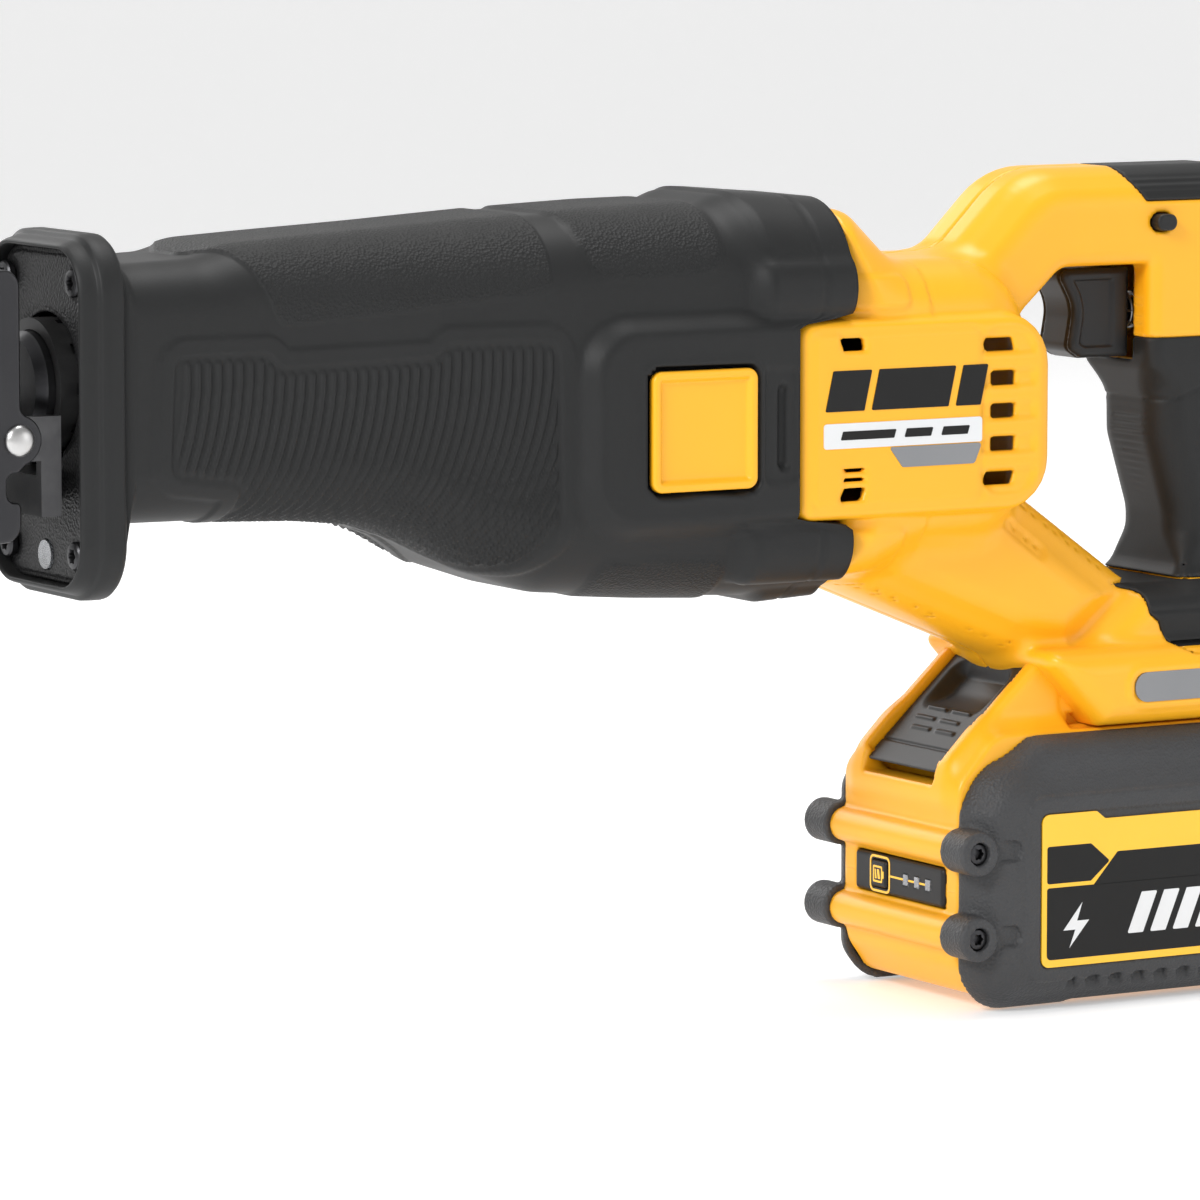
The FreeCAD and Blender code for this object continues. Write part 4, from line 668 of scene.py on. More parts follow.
housing = {
    "wall": 2.8, "seam": 0.08, "step": 1.1,
    "drum": [(-112.0, 126.0, 1), (-95.0, 130.0, 10), (-80.0, 136.5, 20), (-39.5, 138.0, 22),
             (-39.5, 219.8, 26), (-86.0, 219.8, 14), (-101.0, 234.5, 8), (-112.0, 236.5, 1)],
    "drumHalf": 38.3, "drumRound": 17.0, "front": -107.2,
    "cheek": [(-126.4, 147.2, 5), (-40.2, 147.2, 15), (-40.2, 204.4, 15), (-126.4, 204.4, 5)],
    "cheekHalf": 42.0,
    "handle": [(-90.0, 150.0, 4), (-98.0, 128.0, 4), (-43.0, 106.0, 10), (-20.0, 88.0, 4),
               (76.5, 88.0, 3), (76.5, 106.0, 10), (70.0, 134.0, 30), (57.0, 243.8, 20),
               (-31.0, 243.8, 26),
               (-58.0, 217.0, 16), (-90.0, 208.0, 4)],
    "hand": [(-38.5, 151.0, 8), (3.0, 121.0, 10), (21.3, 121.0, 6), (21.3, 140.0, 14),
             (14.2, 163.0, 14),
             (14.0, 174.0, 14), (9.5, 184.0, 4), (9.5, 215.0, 1), (-21.0, 215.0, 8),
             (-38.5, 199.0, 14)],
    "handleHalf": 20.0, "handleBevel": 9.0,
    "arm": [(-98.0, 128.0, 3), (-43.0, 105.0, 8), (-22.0, 100.0, 3), (2.0, 119.0, 3), (-40.0, 149.0, 4),
            (-98.0, 160.0, 4)],
    "armHalf": 27.0, "armBevel": 10.0,
    "base": [(-30.0, 94.0, 3), (76.5, 94.0, 3), (75.0, 117.0, 6), (60.0, 121.0, 6), (2.0, 121.0, 5)],
    "baseHalf": 29.0,
    "foot": [(-17.5, 81.0, 2), (76.5, 81.0, 4), (76.5, 104.0, 6), (-39.0, 104.0, 3)],
    "footHalf": 37.4,
    "screws": [(-24.0, 230.0), (44.0, 229.0), (58.0, 150.0), (62.0, 110.0), (-32.0, 112.0)],
    "triggerSlot": ((-18.0, 27.0), (-9.5, 9.5), (186.4, 214.5)),
    "lockHole": (13.2, 227.4, 3.9, 2.9),
}
guard = {"baseLine": [(-9.0, 125.0, 1), (-6.0, 121.0, 2), (3.0, 118.6, 2), (3.4, 112.8, 1.5),
                      (6.6, 110.0, 1.5),
                      (8.4, 104.4, 2), (15.2, 100.7, 2), (79.0, 100.7, 1), (79.0, 125.0, 1)],
         "gripZ": (121.6, 193.3), "topZ": 233.5, "thick": 1.7, "gap": 0.14}
plans = {key: outlineDistance(housing[key]) for key in ("drum", "cheek", "handle", "hand", "arm",
                                                        "base",
                                                       "foot")}
plans["guard"] = outlineDistance(guard["baseLine"])


def softBevel(a, b, width, r):
    # inside both, with a flat bevel whose two edges are rounded
    return both(both(a, b, r), (a + b + width) * math.sqrt(0.5), r)


def housingForm(x, y, z):
    # the whole outside: motor drum and cheeks, D-handle, lower arm, grip base and battery foot
    s, ay, flat = housing, np.abs(y), {key: plans[key](x, z) for key in plans}
    drum = both(flat["drum"], ay - s["drumHalf"] - 0.03 * (x + 107) * (x < -80), s["drumRound"])
    drum = both(drum, s["front"] - x, 0.4)
    cheek = softBevel(flat["cheek"], ay - s["cheekHalf"], 2.4, 1.6)
    handle = softBevel(flat["handle"], ay - s["handleHalf"], s["handleBevel"], 3.0)
    narrow = smooth(190.0, 176.0, z) * smooth(124.0, 136.0, z) * smooth(-5.0, 8.0, x)
    handle = both(handle, ay - s["handleHalf"] + 2.6 * narrow, 3.0)
    arm = softBevel(flat["arm"], ay - s["armHalf"], s["armBevel"], 3.0)
    base = softBevel(flat["base"], ay - s["baseHalf"], 6.0, 2.5)
    foot = softBevel(flat["foot"], ay - s["footHalf"], 4.5, 2.0)
    body = either(either(drum, arm, 7.0), either(base, foot, 4.0), 5.0)
    body = either(body, handle, 8.0)
    body = both(body, -flat["hand"], 5.0 + 5.0 * narrow)
    return both(either(body, cheek, 1.2), x - 76.4, 3.0)


def guardRegions(x, z):
    # where the three rubber overmoulds lie: handle top, grip, and grip base
    top = np.maximum(guard["topZ"] - z, (1.5 + (243.3 - z) * 0.65 - x) / 1.19)
    low, high = guard["gripZ"]
    grip = np.maximum(np.abs(z - (low + high) / 2) - (high - low) / 2, 2.0 - x)
    base = np.maximum(plans["guard"](x, z), z - low + 0.2)
    return top, grip, base


def ventSlots(x, y, z):
    # five rear slots, one slot and two slits in front, cut through each cheek
    slots = [rectDistance(x, z, (-61.0, -52.8), (c - 2.1, c + 2.1), 0.6) for c in (185.9, 176.4, 166.9)]
    for c, sign in ((195.6, -1), (157.0, 1)):
        slots.append(rectDistance(x - 0.28 * (z - c) * sign, z, (-63.6, -53.4), (c - 1.9, c + 1.9),
                                  0.8))
    for c in (197.5, 154.6):
        slots.append(rectDistance(x + 0.35 * (z - c) * (1 if c > 180 else -1), z, (-112.2, -104.6),
                                  (c - 1.9, c + 1.9), 0.7))
    slots += [rectDistance(x, z, (-111.6, -104.4), (c - 0.55, c + 0.55), 0.4) for c in (161.6, 158.9)]
    flat = slots[0]
    for slot in slots[1:]:
        flat = np.minimum(flat, slot)
    return np.maximum(flat, 34.0 - np.abs(y))


def housingRelief(x, y, z):
    # shallow steps and pads on the outside: panel line, vent bars, screw pads, badge rim, arm recess
    ay = np.abs(y)
    side = smooth(39.0, 40.5, ay)
    panel = rectDistance(x, z, (-121.9, -64.8), (151.0, 200.6), 3.5)
    rise = -0.55 * np.exp(-((panel - 0.4) / 0.6) ** 2) * side
    field = rectDistance(x, z, (-64.4, -46.6), (152.4, 200.0), 6.0)
    bars = np.abs(np.mod(z - 157.4 + 4.77, 9.54) - 4.77)
    bars = smooth(2.1, 2.7, bars) * smooth(-44.8, -47.2, x) * ((z > 158) & (z < 195))
    rise -= 0.9 * smooth(0.4, -0.6, field) * (1 - bars) * side
    for spanX, spanZ in (((-106.5, -87.0), (206.9, 216.6)), ((-111.2, -87.0), (130.4, 143.6))):
        rise += 0.8 * smooth(0.6, -0.8, rectDistance(x, z, spanX, spanZ, 3.0)) * smooth(20, 26, ay)
    badge = rectDistance(x, z, (-10.4, 58.6), (85.6, 98.9), 6.0)
    rim = 0.55 * smooth(0.4, -0.4, badge) - 0.85 * smooth(0.3, -0.3, badge + 2.2)
    rise += rim * smooth(34, 36, ay)
    mark = rectDistance(x, z, (3.6, 6.6), (223.4, 231.2), 1.4)
    rise += 0.25 * smooth(0.4, -0.2, np.abs(mark + 0.5) - 0.2) * smooth(17.5, 19.0, ay)
    along, across = (x + 39.4) * 0.79 - (z - 137.4) * 0.61, (x + 39.4) * 0.61 + (z - 137.4) * 0.79
    slot = rectDistance(along, across, (-9.5, 9.5), (-2.0, 2.0), 2.0)
    return rise - 0.9 * smooth(0.8, -0.8, slot) * smooth(15, 19, ay)


# one half: the rounded form less its covers, less the same form moved in by the wall, plus screw
# posts, less the vents, the trigger slot and the lock-off hole, cut at the seam
def housingShell(side):
    s = housing

    def field(x, y, z):
        form = housingForm(x, y, z)
        outer = form - housingRelief(x, y, z)
        top, grip, base = guardRegions(x, z)
        covered = np.minimum(np.minimum(top, grip), base)
        outer = both(outer, -both(covered, -(form + guard["thick"]), 0.4), 0.3)
        shell = both(outer, -(form + s["wall"] + guard["thick"] * smooth(0.0, -3.0, covered)))
        for sx, sz in s["screws"]:
            shell = either(shell, both(rod(x - sx, z - sz, np.abs(y), 5.2, (0.2, 30)), outer + 0.2),
                           0.6)
            if side > 0:
                shell = np.maximum(shell, -rod(x - sx, z - sz, y, 3.5, (12.0, 60)))
            shell = np.maximum(shell, -rod(x - sx, z - sz, y, 1.95, (-8.6, 20)))
        shell = both(shell, -ventSlots(x, y, z), 0.35)
        shell = both(shell, -block((x, y, z), *s["triggerSlot"], r=1.2), 0.6)
        lx, lz, lw, lh = s["lockHole"]
        hole = rectDistance(x, z, (lx - lw, lx + lw), (lz - lh, lz + lh), lh - 0.2)
        shell = both(shell, -np.maximum(hole, 12.0 - np.abs(y)), 0.4)
        return both(shell, s["seam"] - y * side, 0.35)
    return field


def skinField(index):
    def field(x, y, z):
        form = housingForm(x, y, z)
        region = guardRegions(x, z)[index] + guard["gap"]
        rise = 0.0
        if index == 1:       # fine grip ridges in front, and the moulded joint line above them
            ridge = np.cos(z * 2 * math.pi / 2.1) * smooth(22.0, 15.0, x + np.abs(y) * 0.55)
            rise = 0.26 * ridge * smooth(128.0, 132.0, z) * smooth(173.0, 169.0, z)
            line = z - 174.4 - 0.35 * np.maximum(x - 19.0, 0)
            rise = rise - 0.5 * np.exp(-(line / 0.55) ** 2)
        if index == 0:       # shallow ridges across the handle top
            rise = 0.14 * np.cos(z * 2 * math.pi / 1.7) * smooth(13, 15, np.abs(y)) * (z < 241)
        if index == 2:
            rise = -0.5 * np.exp(-((z - 116.2 + 0.1 * np.abs(y)) / 0.6) ** 2)
        skin = both(form - rise, -(form + guard["thick"] - 0.1))
        cut = both(form - rise, region, 0.7)
        hollow = block((x, y, z), *housing["triggerSlot"], r=1.2) - 0.2
        lift = np.maximum(np.maximum(cut, -(form + guard["thick"] - 0.1)), skin - 0.02)
        return np.maximum(lift, -hollow)
    return field


def makeHousing():
    low, high = (-128.0, -43.2, 79.5), (78.0, 1.2, 245.0)
    left = netSurface(housingShell(-1), low, high, housing["step"])
    makePiece("housing_shell_left", left, "yellow_plastic", "housing", ["housing_left"])
    right = netSurface(housingShell(1), (low[0], -1.2, low[2]), (high[0], 43.2, high[2]),
                       housing["step"])
    makePiece("housing_shell_right", right, "yellow_plastic", "housing", ["housing_right"])
    for index, name, node, box, step in (
            (0, "handle_top_skin", "handle_top_overmold", ((-2, -21, 231), (60, 21, 245)), 0.8),
            (1, "grip_skin", "grip_overmold", ((0, -22, 119.5), (76, 22, 195)), 0.75),
            (2, "grip_base_skin", "base_overmold", ((-11, -31, 99), (78, 31, 123)), 0.65)):
        makePiece(name, netSurface(skinField(index), *box, step), "black_rubber", "housing", [node])


makeHousing()
print("stage: housing and overmoulds")


# flat prints and turned parts
def flatPlate(outer, place, inner=None):
    # a thin closed plate: outline points as (u, v), and place(u, v, w) with w from 0 (back) to 1 (front)
    rings = [(outer, 0), (outer, 1)]
    if inner is None:
        middle = outer * 0 + outer.mean(0)
        rings = [(middle, 0)] + rings + [(middle, 1)]
    else:
        start = np.argmin(((inner - outer[0]) ** 2).sum(1))
        rings += [(np.roll(inner, -start, 0), 1), (np.roll(inner, -start, 0), 0)]
    points = np.concatenate([np.stack(place(run[:, 0], run[:, 1], np.full(len(run), w * 1.0)), -1)
                             for run, w in rings])
    return points, gridFaces(len(rings), len(outer), inner is not None)


def sidePlate(back, front, sign):
    # places a plate on one side of the saw, between two distances from the middle plane
    return lambda u, v, w: (u, sign * (back + (front - back) * w), v)


def merged(parts):
    # several meshes as one
    points, faces, count = [], [], 0
    for p, f in parts:
        points.append(p)
        faces.append(f + count)
        count += len(p)
    return np.concatenate(points), np.concatenate(faces)


def makeParts(name, parts, finish, body, nodes=(), sharp=35):
    makePiece(name, merged(parts), finish, body, nodes, None, True, sharp)


def turned(profile, place, steps=48, lobes=None):
    # a turned part from (radius, distance along the axis); rings listed in lobes get six shallow lobes
    angle = np.linspace(0, 2 * math.pi, steps, endpoint=False)
    rings = []
    for number, (radius, along) in enumerate(profile):
        r = radius * (1 + 0.13 * np.cos(6 * angle)) if lobes and number in lobes else radius + 0 * angle
        rings.append(np.stack(place(r * np.cos(angle), r * np.sin(angle), along + 0 * angle), -1))
    return np.concatenate(rings), gridFaces(len(profile), steps)


def screwProfile(head, shank, length):
    # from the tip to the bottom of the star recess; distances run outwards from under the head
    return [(0, -length), (shank * 0.5, -length), (shank, -length + shank), (shank, 0),
            (head * 0.96, 0),
            (head, 0.2), (head, head * 0.42), (head * 0.9, head * 0.56), (head * 0.7, head * 0.62),
            (head * 0.52, head * 0.63), (head * 0.47, head * 0.55), (head * 0.45, head * 0.1),
            (0, head * 0.1)]


# battery pack
battery = {
    "pack": [(-57.0, 3.2, 8), (64.6, 3.2, 8), (64.6, 80.3, 8), (-52.0, 80.3, 8), (-65.0, 66.0, 8),
             (-65.0, 14.0, 10)],
    "tower": [(-60.0, 60.0, 1), (-24.8, 60.0, 1), (-24.8, 100.3, 2.5), (-34.2, 100.3, 5),
              (-64.3, 72.6, 6),
              (-64.3, 62.0, 1)],
    "bumper": [(-57.5, 0.0, 14), (65.0, 0.0, 14), (65.0, 73.5, 14), (-57.5, 73.5, 14),
               (-65.0, 60.0, 10),
               (-65.0, 10.0, 10)],
    "shoulder": [(-57.0, 55.0, 2), (63.0, 55.0, 2), (63.0, 80.3, 6), (-41.0, 80.3, 9),
                 (-57.0, 70.0, 6)],
    "half": 31.0, "wall": 2.4, "towerHalf": 25.3, "rolls": (23.0, 48.0), "rollX": -65.3, "rollR": 5.1,
    "latchMid": (-47.5, 85.25), "latchAlong": (-0.737, -0.676), "latchReach": 20.35,
    "gauge": ((-65.7, -60.6), (-24.0, 24.0), (29.6, 41.4)),
}
plans.update({key: outlineDistance(battery[key]) for key in ("pack", "tower", "bumper", "shoulder")})


def latchFrame(x, z):
    # along the latch slope (down to the front) and depth into the pack, in mm
    (mx, mz), (ax, az) = battery["latchMid"], battery["latchAlong"]
    return (x - mx) * ax + (z - mz) * az, -(x - mx) * az + (z - mz) * ax


# the side outline pulled across the width, less the same outline moved in by the wall, joined with
# the tower, the rail tongue and the front rolls, less the latch pocket, spring bore and gauge opening
def coreField(x, y, z):
    ay, b = np.abs(y), battery
    pack = plans["pack"](x, z)
    ribs = np.cos((y + 2.0) * 2 * math.pi / 11.5) * smooth(28.0, 24.0, ay) * smooth(-58.0, -62.0, x)
    pack = pack + 0.5 * (1 - ribs) * smooth(17.5, 15.5, z) * smooth(5.0, 8.5, z) * (x < -55)
    form = both(pack, ay - b["half"], 0.8)
    thick = b["wall"] + 7.0 * smooth(-36.0, -46.0, x) * smooth(54.0, 60.0, z)
    hollow = both(both(pack + thick, ay - 60.0), z - 77.8)
    tower = both(plans["tower"](x, z), ay - b["towerHalf"], 2.5)
    upper = np.maximum(either(both(plans["pack"](x, z), ay - b["half"], 2.0), tower, 7.0),
                       np.minimum(x + 24.7, z - 80.4))
    tongue = block((x, y, z), (-40.0, 37.5), (-25.0, 25.0), (79.0, 91.9), 0.6)
    groove = np.maximum(np.maximum(np.abs(z - 82.7) - 1.8, 21.4 - ay), -23.2 - x)
    tongue = np.maximum(tongue, -groove)
    for number in range(6):
        middle = (number - 2.5) * 7
        tongue = np.maximum(tongue, -block((x, y, z), (19.4, 40.0), (middle - 1.6, middle + 1.6),
                                           (84.6, 91.0), 0.2))
    shape = np.minimum(np.maximum(form, -hollow), np.maximum(upper, -hollow))
    shape = np.minimum(shape, tongue)
    for z0 in b["rolls"]:
        shape = either(shape, rod(x - b["rollX"], z - z0, y, b["rollR"], (-b["half"], b["half"]), 0.6),
                       1.2)
        shape = np.maximum(shape, -rod(x - b["rollX"], z - z0, y, 1.95, (-40, 40)))
    along, deep = latchFrame(x, z)
    pocket = block((along, y, deep), (-20.6, 20.6), (-20.35, 20.35), (-6.0, 9.6), 1.0)
    lip = block((x, y, z), (-72.0, -57.0), (-19.0, 19.0), (65.4, 76.0), 1.0)
    spring = np.maximum(np.hypot(along, y) - 4.2, np.abs(deep - 12.0) - 9.0)
    shape = both(shape, -np.minimum(np.minimum(pocket, lip), spring), 0.5)
    gx, gy, gz = b["gauge"]
    panel = block((x, y, z), (-80.0, -60.2), (gy[0] - 0.3, gy[1] + 0.3), (gz[0] - 0.3, gz[1] + 0.3),
                  1.2)
    return both(shape, -panel, 0.3)


def bumperField(x, y, z):
    b, ay = battery, -y
    base = softBevel(plans["bumper"](x, z), ay - 42.7, 8.5, 3.0)
    shoulder = softBevel(plans["shoulder"](x, z), ay - 39.5, 6.0, 3.0)
    rim = rectDistance(x, z, (-49.0, 57.5), (8.6, 63.5), 6.0)
    face = ay - 42.7 - 0.8 * smooth(1.2, -1.2, rim)
    frameOnly = both(face, rim, 0.8)
    form = either(either(base, shoulder, 2.5), np.maximum(frameOnly, 36.0 - ay), 0.6)
    label = rectDistance(x, z, (-44.3, 52.3), (12.7, 58.3), 2.8)
    form = both(form, -np.maximum(label, 42.75 - ay), 0.3)
    for z0 in b["rolls"]:
        scoop = rectDistance(x, z, (-67.0, -50.0), (z0 - 3.2, z0 + 3.2), 3.2)
        form = both(form, -both(scoop + 0.35 * np.maximum(42.2 - ay, 0), 41.1 - ay, 0.5), 0.6)
        boss = rod(x - b["rollX"], z - z0, ay, 6.5, (31.0, 43.4), 1.0)
        form = either(form, boss, 1.4)
    lowSlots = np.abs(np.mod(x + 0.45 * (z - 6.0) + 34.0, 8.0) - 2.2) - 2.0
    slots = both(both(lowSlots, np.abs(z - 6.9) - 2.7, 0.5), np.abs(x - 11.0) - 44.0)
    form = both(form, -np.maximum(slots, 39.6 - ay), 0.3)
    foot = np.maximum(np.maximum(z - 1.5, -30.0 - x + z), x - 52.0)
    form = np.maximum(form, -foot)
    hollow = softBevel(plans["bumper"](x, z) + 2.6, ay - 40.0, 8.5, 1.0)
    shape = np.maximum(form, -hollow)
    for z0 in b["rolls"]:                                # solid round the screws
        core = np.maximum(np.maximum(np.hypot(x - b["rollX"], z - z0) - 6.5, form), 31.0 - ay)
        shape = np.minimum(shape, core)
        shape = np.maximum(shape, -rod(x - b["rollX"], z - z0, ay, 3.45, (40.1, 50.0), 0.2))
        shape = np.maximum(shape, -rod(x - b["rollX"], z - z0, ay, 1.95, (20.0, 45.0), 0.2))
    return both(shape, 31.05 - ay, 0.3)


# a box with a lip below it in the frame of the slope, less a smooth bowl, with short grip bars
def latchField(x, y, z):
    along, deep = latchFrame(x, z)
    reach = battery["latchReach"]
    body = block((along, y, deep), (-reach, reach), (-20.0, 20.0), (0.0, 5.0), 1.2)
    lip = block((x, y, z), (-65.0, -59.8), (-18.4, 18.4), (68.8, 73.6), 1.0)
    body = np.minimum(body, lip)
    scoop = rectDistance(along, y, (-17.2, 2.5), (-14.6, 14.6), 4.5)
    bowl = 3.7 * smooth(1.4, -3.6, scoop) * smooth(5.5, -9.0, along)
    body = np.maximum(body, bowl - deep - 0.02)
    for row, shift in ((1.6, -1.0), (5.6, 1.0), (9.6, -1.0)):
        for y0 in (-6.4, 6.4):
            middle = y0 + shift
            bar = block((along, y, deep), (row - 0.55, row + 0.55), (middle - 5.0, middle + 5.0),
                        (-0.55, 1.5), 0.5)
            body = either(body, bar, 0.4)
    step = np.abs(along - 15.6) - 0.35
    return both(body, -np.maximum(step, deep - 0.55), 0.2)


# a rounded panel with a window for the key and three for the lights
def gaugeField(x, y, z):
    gx, gy, gz = battery["gauge"]
    panel = block((x, y, z), gx, gy, gz, 1.3)
    window = rectDistance(y, z, (5.9, 14.3), (31.3, 39.7), 0.9)
    panel = np.maximum(panel, -np.maximum(window, x + 61.4))
    for y0 in (-4.0, -10.0, -16.0):
        lamp = rectDistance(y, z, (y0 - 1.4, y0 + 1.4), (33.8, 37.2), 0.2)
        panel = np.maximum(panel, -np.maximum(lamp, x + 63.6))
    return panel


# a rounded box
def buttonField(x, y, z):
    return block((x, y, z), (-66.35, -63.45), (6.1, 14.1), (31.5, 39.5), 0.9)


def makeBattery():
    makePiece("pack_core", netSurface(coreField, (-73, -33, 1), (67, 33, 102), 1.0),
              "yellow_plastic", "battery", ["battery_core"])
    points, faces = netSurface(bumperField, (-73.5, -45.0, -1), (67, -29.5, 82), 0.9)
    marks = np.ones(len(points)) * 0.6
    makePiece("pack_bumper_left", (points, faces),
              "charcoal_plastic", "battery", ["battery_bumper_left"], marks)
    makePiece("pack_bumper_right", flipped(points, faces),
              "charcoal_plastic", "battery", ["battery_bumper_right"], marks)
    makePiece("latch_pad", netSurface(latchField, (-68, -21.5, 63), (-27, 21.5, 102), 0.6),
              "black_plastic", "latch", ["latch_button"])
    makePiece("gauge_plate", netSurface(gaugeField, (-67, -25, 28.5), (-59.5, 25, 42.5), 0.5),
              "black_plastic", "battery", ["gauge_panel"])
    makePiece("gauge_key", netSurface(buttonField, (-67.5, 5, 30.5), (-62.5, 15.2, 40.6), 0.4),
              "black_plastic", "gauge_button", ["gauge_button"])
    screws = []
    for side in (-1, 1):
        for z0 in battery["rolls"]:
            spot = lambda a, c, w: (battery["rollX"] + a * side, side * (40.3 + w), z0 + c)
            screws.append(turned(screwProfile(3.1, 1.85, 14.0), spot, lobes=(9, 10, 11)))
    makeParts("pack_screws", screws, "dark_steel", "battery", ["battery_screws"])
    # printed lines on the gauge: the frame of the key, the line to the lights, the cell sign on the key
    front = lambda x0: (lambda u, v, w: (x0 - 0.12 * w, u, v))
    lines = [flatPlate(rectangle((4.6, 15.6), (30.0, 41.0), 2.0), front(-65.68),
                       rectangle((5.3, 14.9), (30.7, 40.3), 1.4)),
             flatPlate(rectangle((-2.6, 4.6), (35.2, 35.8), 0.2), front(-65.68)),
             flatPlate(rectangle((-8.6, -5.4), (35.2, 35.8), 0.2), front(-65.68)),
             flatPlate(rectangle((-14.6, -11.4), (35.2, 35.8), 0.2), front(-65.68))]
    makeParts("gauge_lines", lines, "label_yellow", "battery")
    sign = [flatPlate(rectangle((7.9, 12.9), (33.0, 38.0), 0.5), front(-66.3),
                      rectangle((8.5, 12.3), (33.6, 37.4), 0.3)),
            flatPlate(rectangle((7.1, 7.9), (34.4, 36.6), 0.2), front(-66.3)),
            flatPlate(slanted(9.0, 1.2, 34.1, 36.9, 0.6, 0.1), front(-66.3)),
            flatPlate(roundedOutline([(10.8, 34.1, 0.1), (11.8, 34.1, 0.1), (12.0, 36.9, 0.1),
                                      (11.4, 36.9, 0.1)]), front(-66.3))]
    makeParts("cell_sign", sign, "label_yellow", "gauge_button")


# side labels of the pack: a yellow plate, black areas and a generic bolt sign
packLabel = {
    "plate": [(-44.0, 13.0, 2.5), (52.0, 13.0, 2.5), (52.0, 55.6, 2.5), (-22.0, 55.6, 1.5),
              (-25.0, 58.0, 1.5), (-44.0, 58.0, 2.5)],
    "tag": [(-42.3, 37.6, 0.8), (-27.0, 37.6, 0.8), (-20.4, 43.1, 0.6), (-27.0, 48.6, 0.8),
            (-42.3, 48.6, 0.8)],
    "lowArea": [(-42.3, 15.2, 1.5), (50.0, 15.2, 1.5), (50.0, 36.4, 0.3), (-42.3, 36.4, 0.8)],
    "highArea": [(-26.0, 36.3, 0.1), (50.0, 36.3, 0.1), (50.0, 45.6, 1.5), (-17.6, 45.6, 1.0)],
    "bolt": [(-30.0, 31.5, 0.2), (-36.6, 23.6, 0.2), (-32.4, 23.6, 0.2), (-34.4, 18.4, 0.2),
             (-27.6, 26.2, 0.2), (-31.8, 26.2, 0.2)],
    "bars": [(-14.0, 5.5), (-6.0, 5.5), (2.0, 5.5), (10.0, 26.0)],
}


def makePackLabels():
    plates, blacks, lights = [], [], []
    for side in (-1, 1):
        put = lambda back, front: sidePlate(back, front, side)
        plates.append(flatPlate(roundedOutline(packLabel["plate"]), put(42.8, 43.55)))
        for key in ("tag", "lowArea", "highArea"):
            blacks.append(flatPlate(roundedOutline(packLabel[key]), put(43.3, 43.62)))
        bolt = np.array(packLabel["bolt"])[:, :2]
        lights.append(flatPlate(bolt[[0, 1, 2, 5]], put(43.4, 43.7)))
        lights.append(flatPlate(bolt[[5, 2, 3, 4]] + [[0, -0.01]], put(43.4, 43.7)))
        for start, wide in packLabel["bars"]:
            lights.append(flatPlate(slanted(start, wide, 21.0, 33.0, 5, 0.4), put(43.4, 43.7)))
    makeParts("pack_label_plates", plates, "label_yellow", "battery", ["battery_labels"])
    makeParts("pack_label_areas", blacks, "label_print", "battery")
    makeParts("pack_label_signs", lights, "label_silver", "battery")


def coil(seat, along, length, radius, wire, turns):
    # a coil spring as a closed tube, from its seat along a direction in the saw's middle plane
    t = np.linspace(0, 1, turns * 26)
    side = np.array([along[2], 0.0, -along[0]]) if along[1] == 0 else np.array([1.0, 0.0, 0.0])
    other, angle = np.cross(along, side), 2 * math.pi * turns * t
    out = np.cos(angle)[:, None] * side + np.sin(angle)[:, None] * other
    line = seat + radius * out + ((length - 2 * wire) * t + wire)[:, None] * np.array(along)
    ring = np.linspace(0, 2 * math.pi, 10, endpoint=False)
    tube = (line[:, None] + wire * (np.cos(ring)[None, :, None] * out[:, None]
                                    + np.sin(ring)[None, :, None] * np.array(along)))
    tube = np.concatenate([line[:1, None] + 0 * tube[:1], tube, line[-1:, None] + 0 * tube[-1:]])
    return tube.reshape(-1, 3), gridFaces(len(tube), 10)


# seat, direction, length, radius, wire and turns of each coil; both are drawn a little pressed, but
# the release coil still comes 0.4 mm through its key's face at the end of the travel
springs = {
    "release": ((-158.65, -38.5, 167.45), (0.0, -1.0, 0.0), 1.7, 3.0, 0.3, 2),
    "latch": ((-33.3, 0.0, 69.78), (-0.6757, 0.0, 0.7372), 13.8, 3.0, 0.4, 5),
}


def makeSprings():
    makePiece("release_coil", coil(*springs["release"]), "bright_steel", "housing",
              ["release_spring"], fixNormals=True)
    makePiece("latch_coil", coil(*springs["latch"]), "bright_steel", "battery",
              ["latch_spring"], fixNormals=True)


makeBattery()
makePackLabels()
makeSprings()
print("stage: battery pack")


# gearcase, nose and shoe
nose = {"axis": 193.0, "inset": 3.3, "wall": 3.4, "walls": [(-306.0, -288.0), (-236.0, -214.0)],
        "bore": 11.05, "postSlot": ((-9.4, 9.4), (162.1, 171.0)),
        "flange": ((-27.7, 27.7), (139.3, 230.7), 12.8),
        "plate": (-342.9, -340.0), "screws": ((-21.0, 21.0), (148.0, 222.0)), "pivot": (-363.8, 180.7)}


